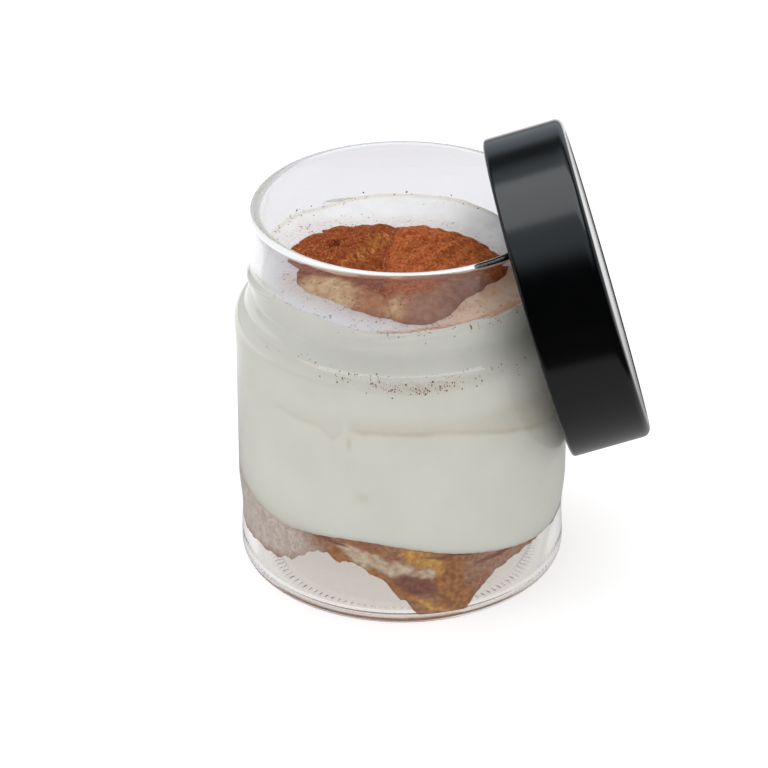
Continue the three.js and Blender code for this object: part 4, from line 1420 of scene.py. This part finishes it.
# Every piece rides on the one body, and the frame parts it replaces are hidden

pieces = {
    "glass": [(jarGlass, ("glass_jar",))],
    "soaked_sponge": [(soakedSponge, ("soaked_sponge",))],
    "cream": [(creamFill, ("cream",))],
    "cocoa": [(cocoaLeft, ("cocoa_sponge_left",)), (cocoaRight, ("cocoa_sponge_right",)), (cocoaGrains, ()),
              (cocoaSpecks, ())],
    "black_enamel": [(lidShell, ("lid",)), (sealRingPiece, ())],
}
for slotName, members in pieces.items():
    for piece, nodes in members:
        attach(piece, "root")
        if nodes:
            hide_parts(*nodes)

# Floor, light and camera

lampSetup = dict(width=1.5, depth=0.75, height=1.05, behind=0.12, power=6.1)


def buildFloor():
    half = floorLook["size"] / 2
    corners = [(-half, -half, 0), (half, -half, 0), (half, half, 0), (-half, half, 0)]
    mesh = bpy.data.meshes.new("floor")
    mesh.from_pydata(corners, [], [(0, 1, 2, 3)])
    mesh.materials.append(floorMaterial())
    addObject("floor", mesh)


def buildLamp():
    light = bpy.data.lights.new("softbox", "AREA")
    light.shape = "RECTANGLE"
    light.size, light.size_y = lampSetup["width"], lampSetup["depth"]
    light.energy = lampSetup["power"]
    lamp = addObject("softbox", light)
    lamp.location = (0, lampSetup["behind"], lampSetup["height"])


# Spans are of a ray's direction: towards the viewer, down, left and up
roomLook = dict(
    plain=0.60, throughGlass=0.85, mirrorUp=0.85, mirrorBack=0.10, mirrorFront=0.01, mirrorSide=0.6,
    mirrorHorizon=0.6, mirrorTint=rgb(0.90, 1.0, 1.10), deepestMirror=2.5,
    frontSpan=(-0.2, 0.3), lowSpan=(-0.52, -0.36), sideSpan=(0.55, 0.9), upSpan=(0.62, 0.82),
)


# An even bright room, of which mirrored rays see a darker front
def buildRoom():
    world = bpy.data.worlds.new("studio")
    bpy.context.scene.world = world
    world.use_nodes = True
    tree = world.node_tree
    background = tree.nodes["Background"]
    x, y, z = addAxes(tree, "Generated")
    forward, down, left = (addMath(tree, "MULTIPLY", axis, -1.0) for axis in (y, z, x))
    frontness = addStep(tree, forward, *roomLook["frontSpan"])
    lowBehind = addStep(tree, down, *roomLook["lowSpan"])
    span = roomLook["mirrorHorizon"] - roomLook["mirrorBack"]
    behind = addMath(tree, "MULTIPLY_ADD", lowBehind, span, roomLook["mirrorBack"])
    shade = addMath(tree, "MULTIPLY", behind, addMath(tree, "SUBTRACT", 1.0, frontness))
    mirrored = addMath(tree, "MULTIPLY_ADD", frontness, roomLook["mirrorFront"], shade)
    sideways = addStep(tree, left, *roomLook["sideSpan"])
    upward = addStep(tree, z, *roomLook["upSpan"])
    for share, value in ((sideways, roomLook["mirrorSide"]), (upward, roomLook["mirrorUp"])):
        rest = addMath(tree, "MULTIPLY", mirrored, addMath(tree, "SUBTRACT", 1.0, share))
        mirrored = addMath(tree, "MULTIPLY_ADD", share, value, rest)
    path = addNode(tree, "ShaderNodeLightPath")
    seen = addMath(tree, "MAXIMUM", path.outputs["Is Transmission Ray"], path.outputs["Is Camera Ray"])
    span = roomLook["throughGlass"] - roomLook["plain"]
    plain = addMath(tree, "MULTIPLY_ADD", seen, span, roomLook["plain"])
    mirror = mirrorShare(tree, roomLook["deepestMirror"])
    kept = addMath(tree, "MULTIPLY", plain, addMath(tree, "SUBTRACT", 1.0, mirror))
    strength = addMath(tree, "MULTIPLY_ADD", mirror, mirrored, kept)
    tree.links.new(strength, background.inputs["Strength"])
    tree.links.new(addMix(tree, mirror, white, roomLook["mirrorTint"]), background.inputs["Color"])
    world.cycles.sampling_method = "NONE"


photoView = dict(elevation=29.175, turn=-2.0, distance=0.8, focal=3821.03, middle=(402.162, 387.512),
                 aimHeight=0.038, imageSize=768)


def buildCamera():
    data = bpy.data.cameras.new("photoCamera")
    size = photoView["imageSize"]
    data.sensor_width = 36.0
    data.lens = photoView["focal"] * data.sensor_width / size
    data.shift_x = (size / 2 - photoView["middle"][0]) / size
    data.shift_y = (photoView["middle"][1] - size / 2) / size
    data.clip_start, data.clip_end = 0.05, 20
    camera = addObject("photoCamera", data)
    rise, turn = math.radians(photoView["elevation"]), math.radians(photoView["turn"])
    away = Vector((math.sin(turn) * math.cos(rise), -math.cos(turn) * math.cos(rise), math.sin(rise)))
    aim = Vector((jarAxis[0], jarAxis[1], photoView["aimHeight"]))
    camera.location = aim + away * photoView["distance"]
    camera.rotation_euler = (-away).to_track_quat("-Z", "Y").to_euler()
    bpy.context.scene.camera = camera


buildFloor()
buildLamp()
buildRoom()
buildCamera()
bpy.context.scene.view_settings.view_transform = "Standard"
print("stage 9: floor, lamp and camera")
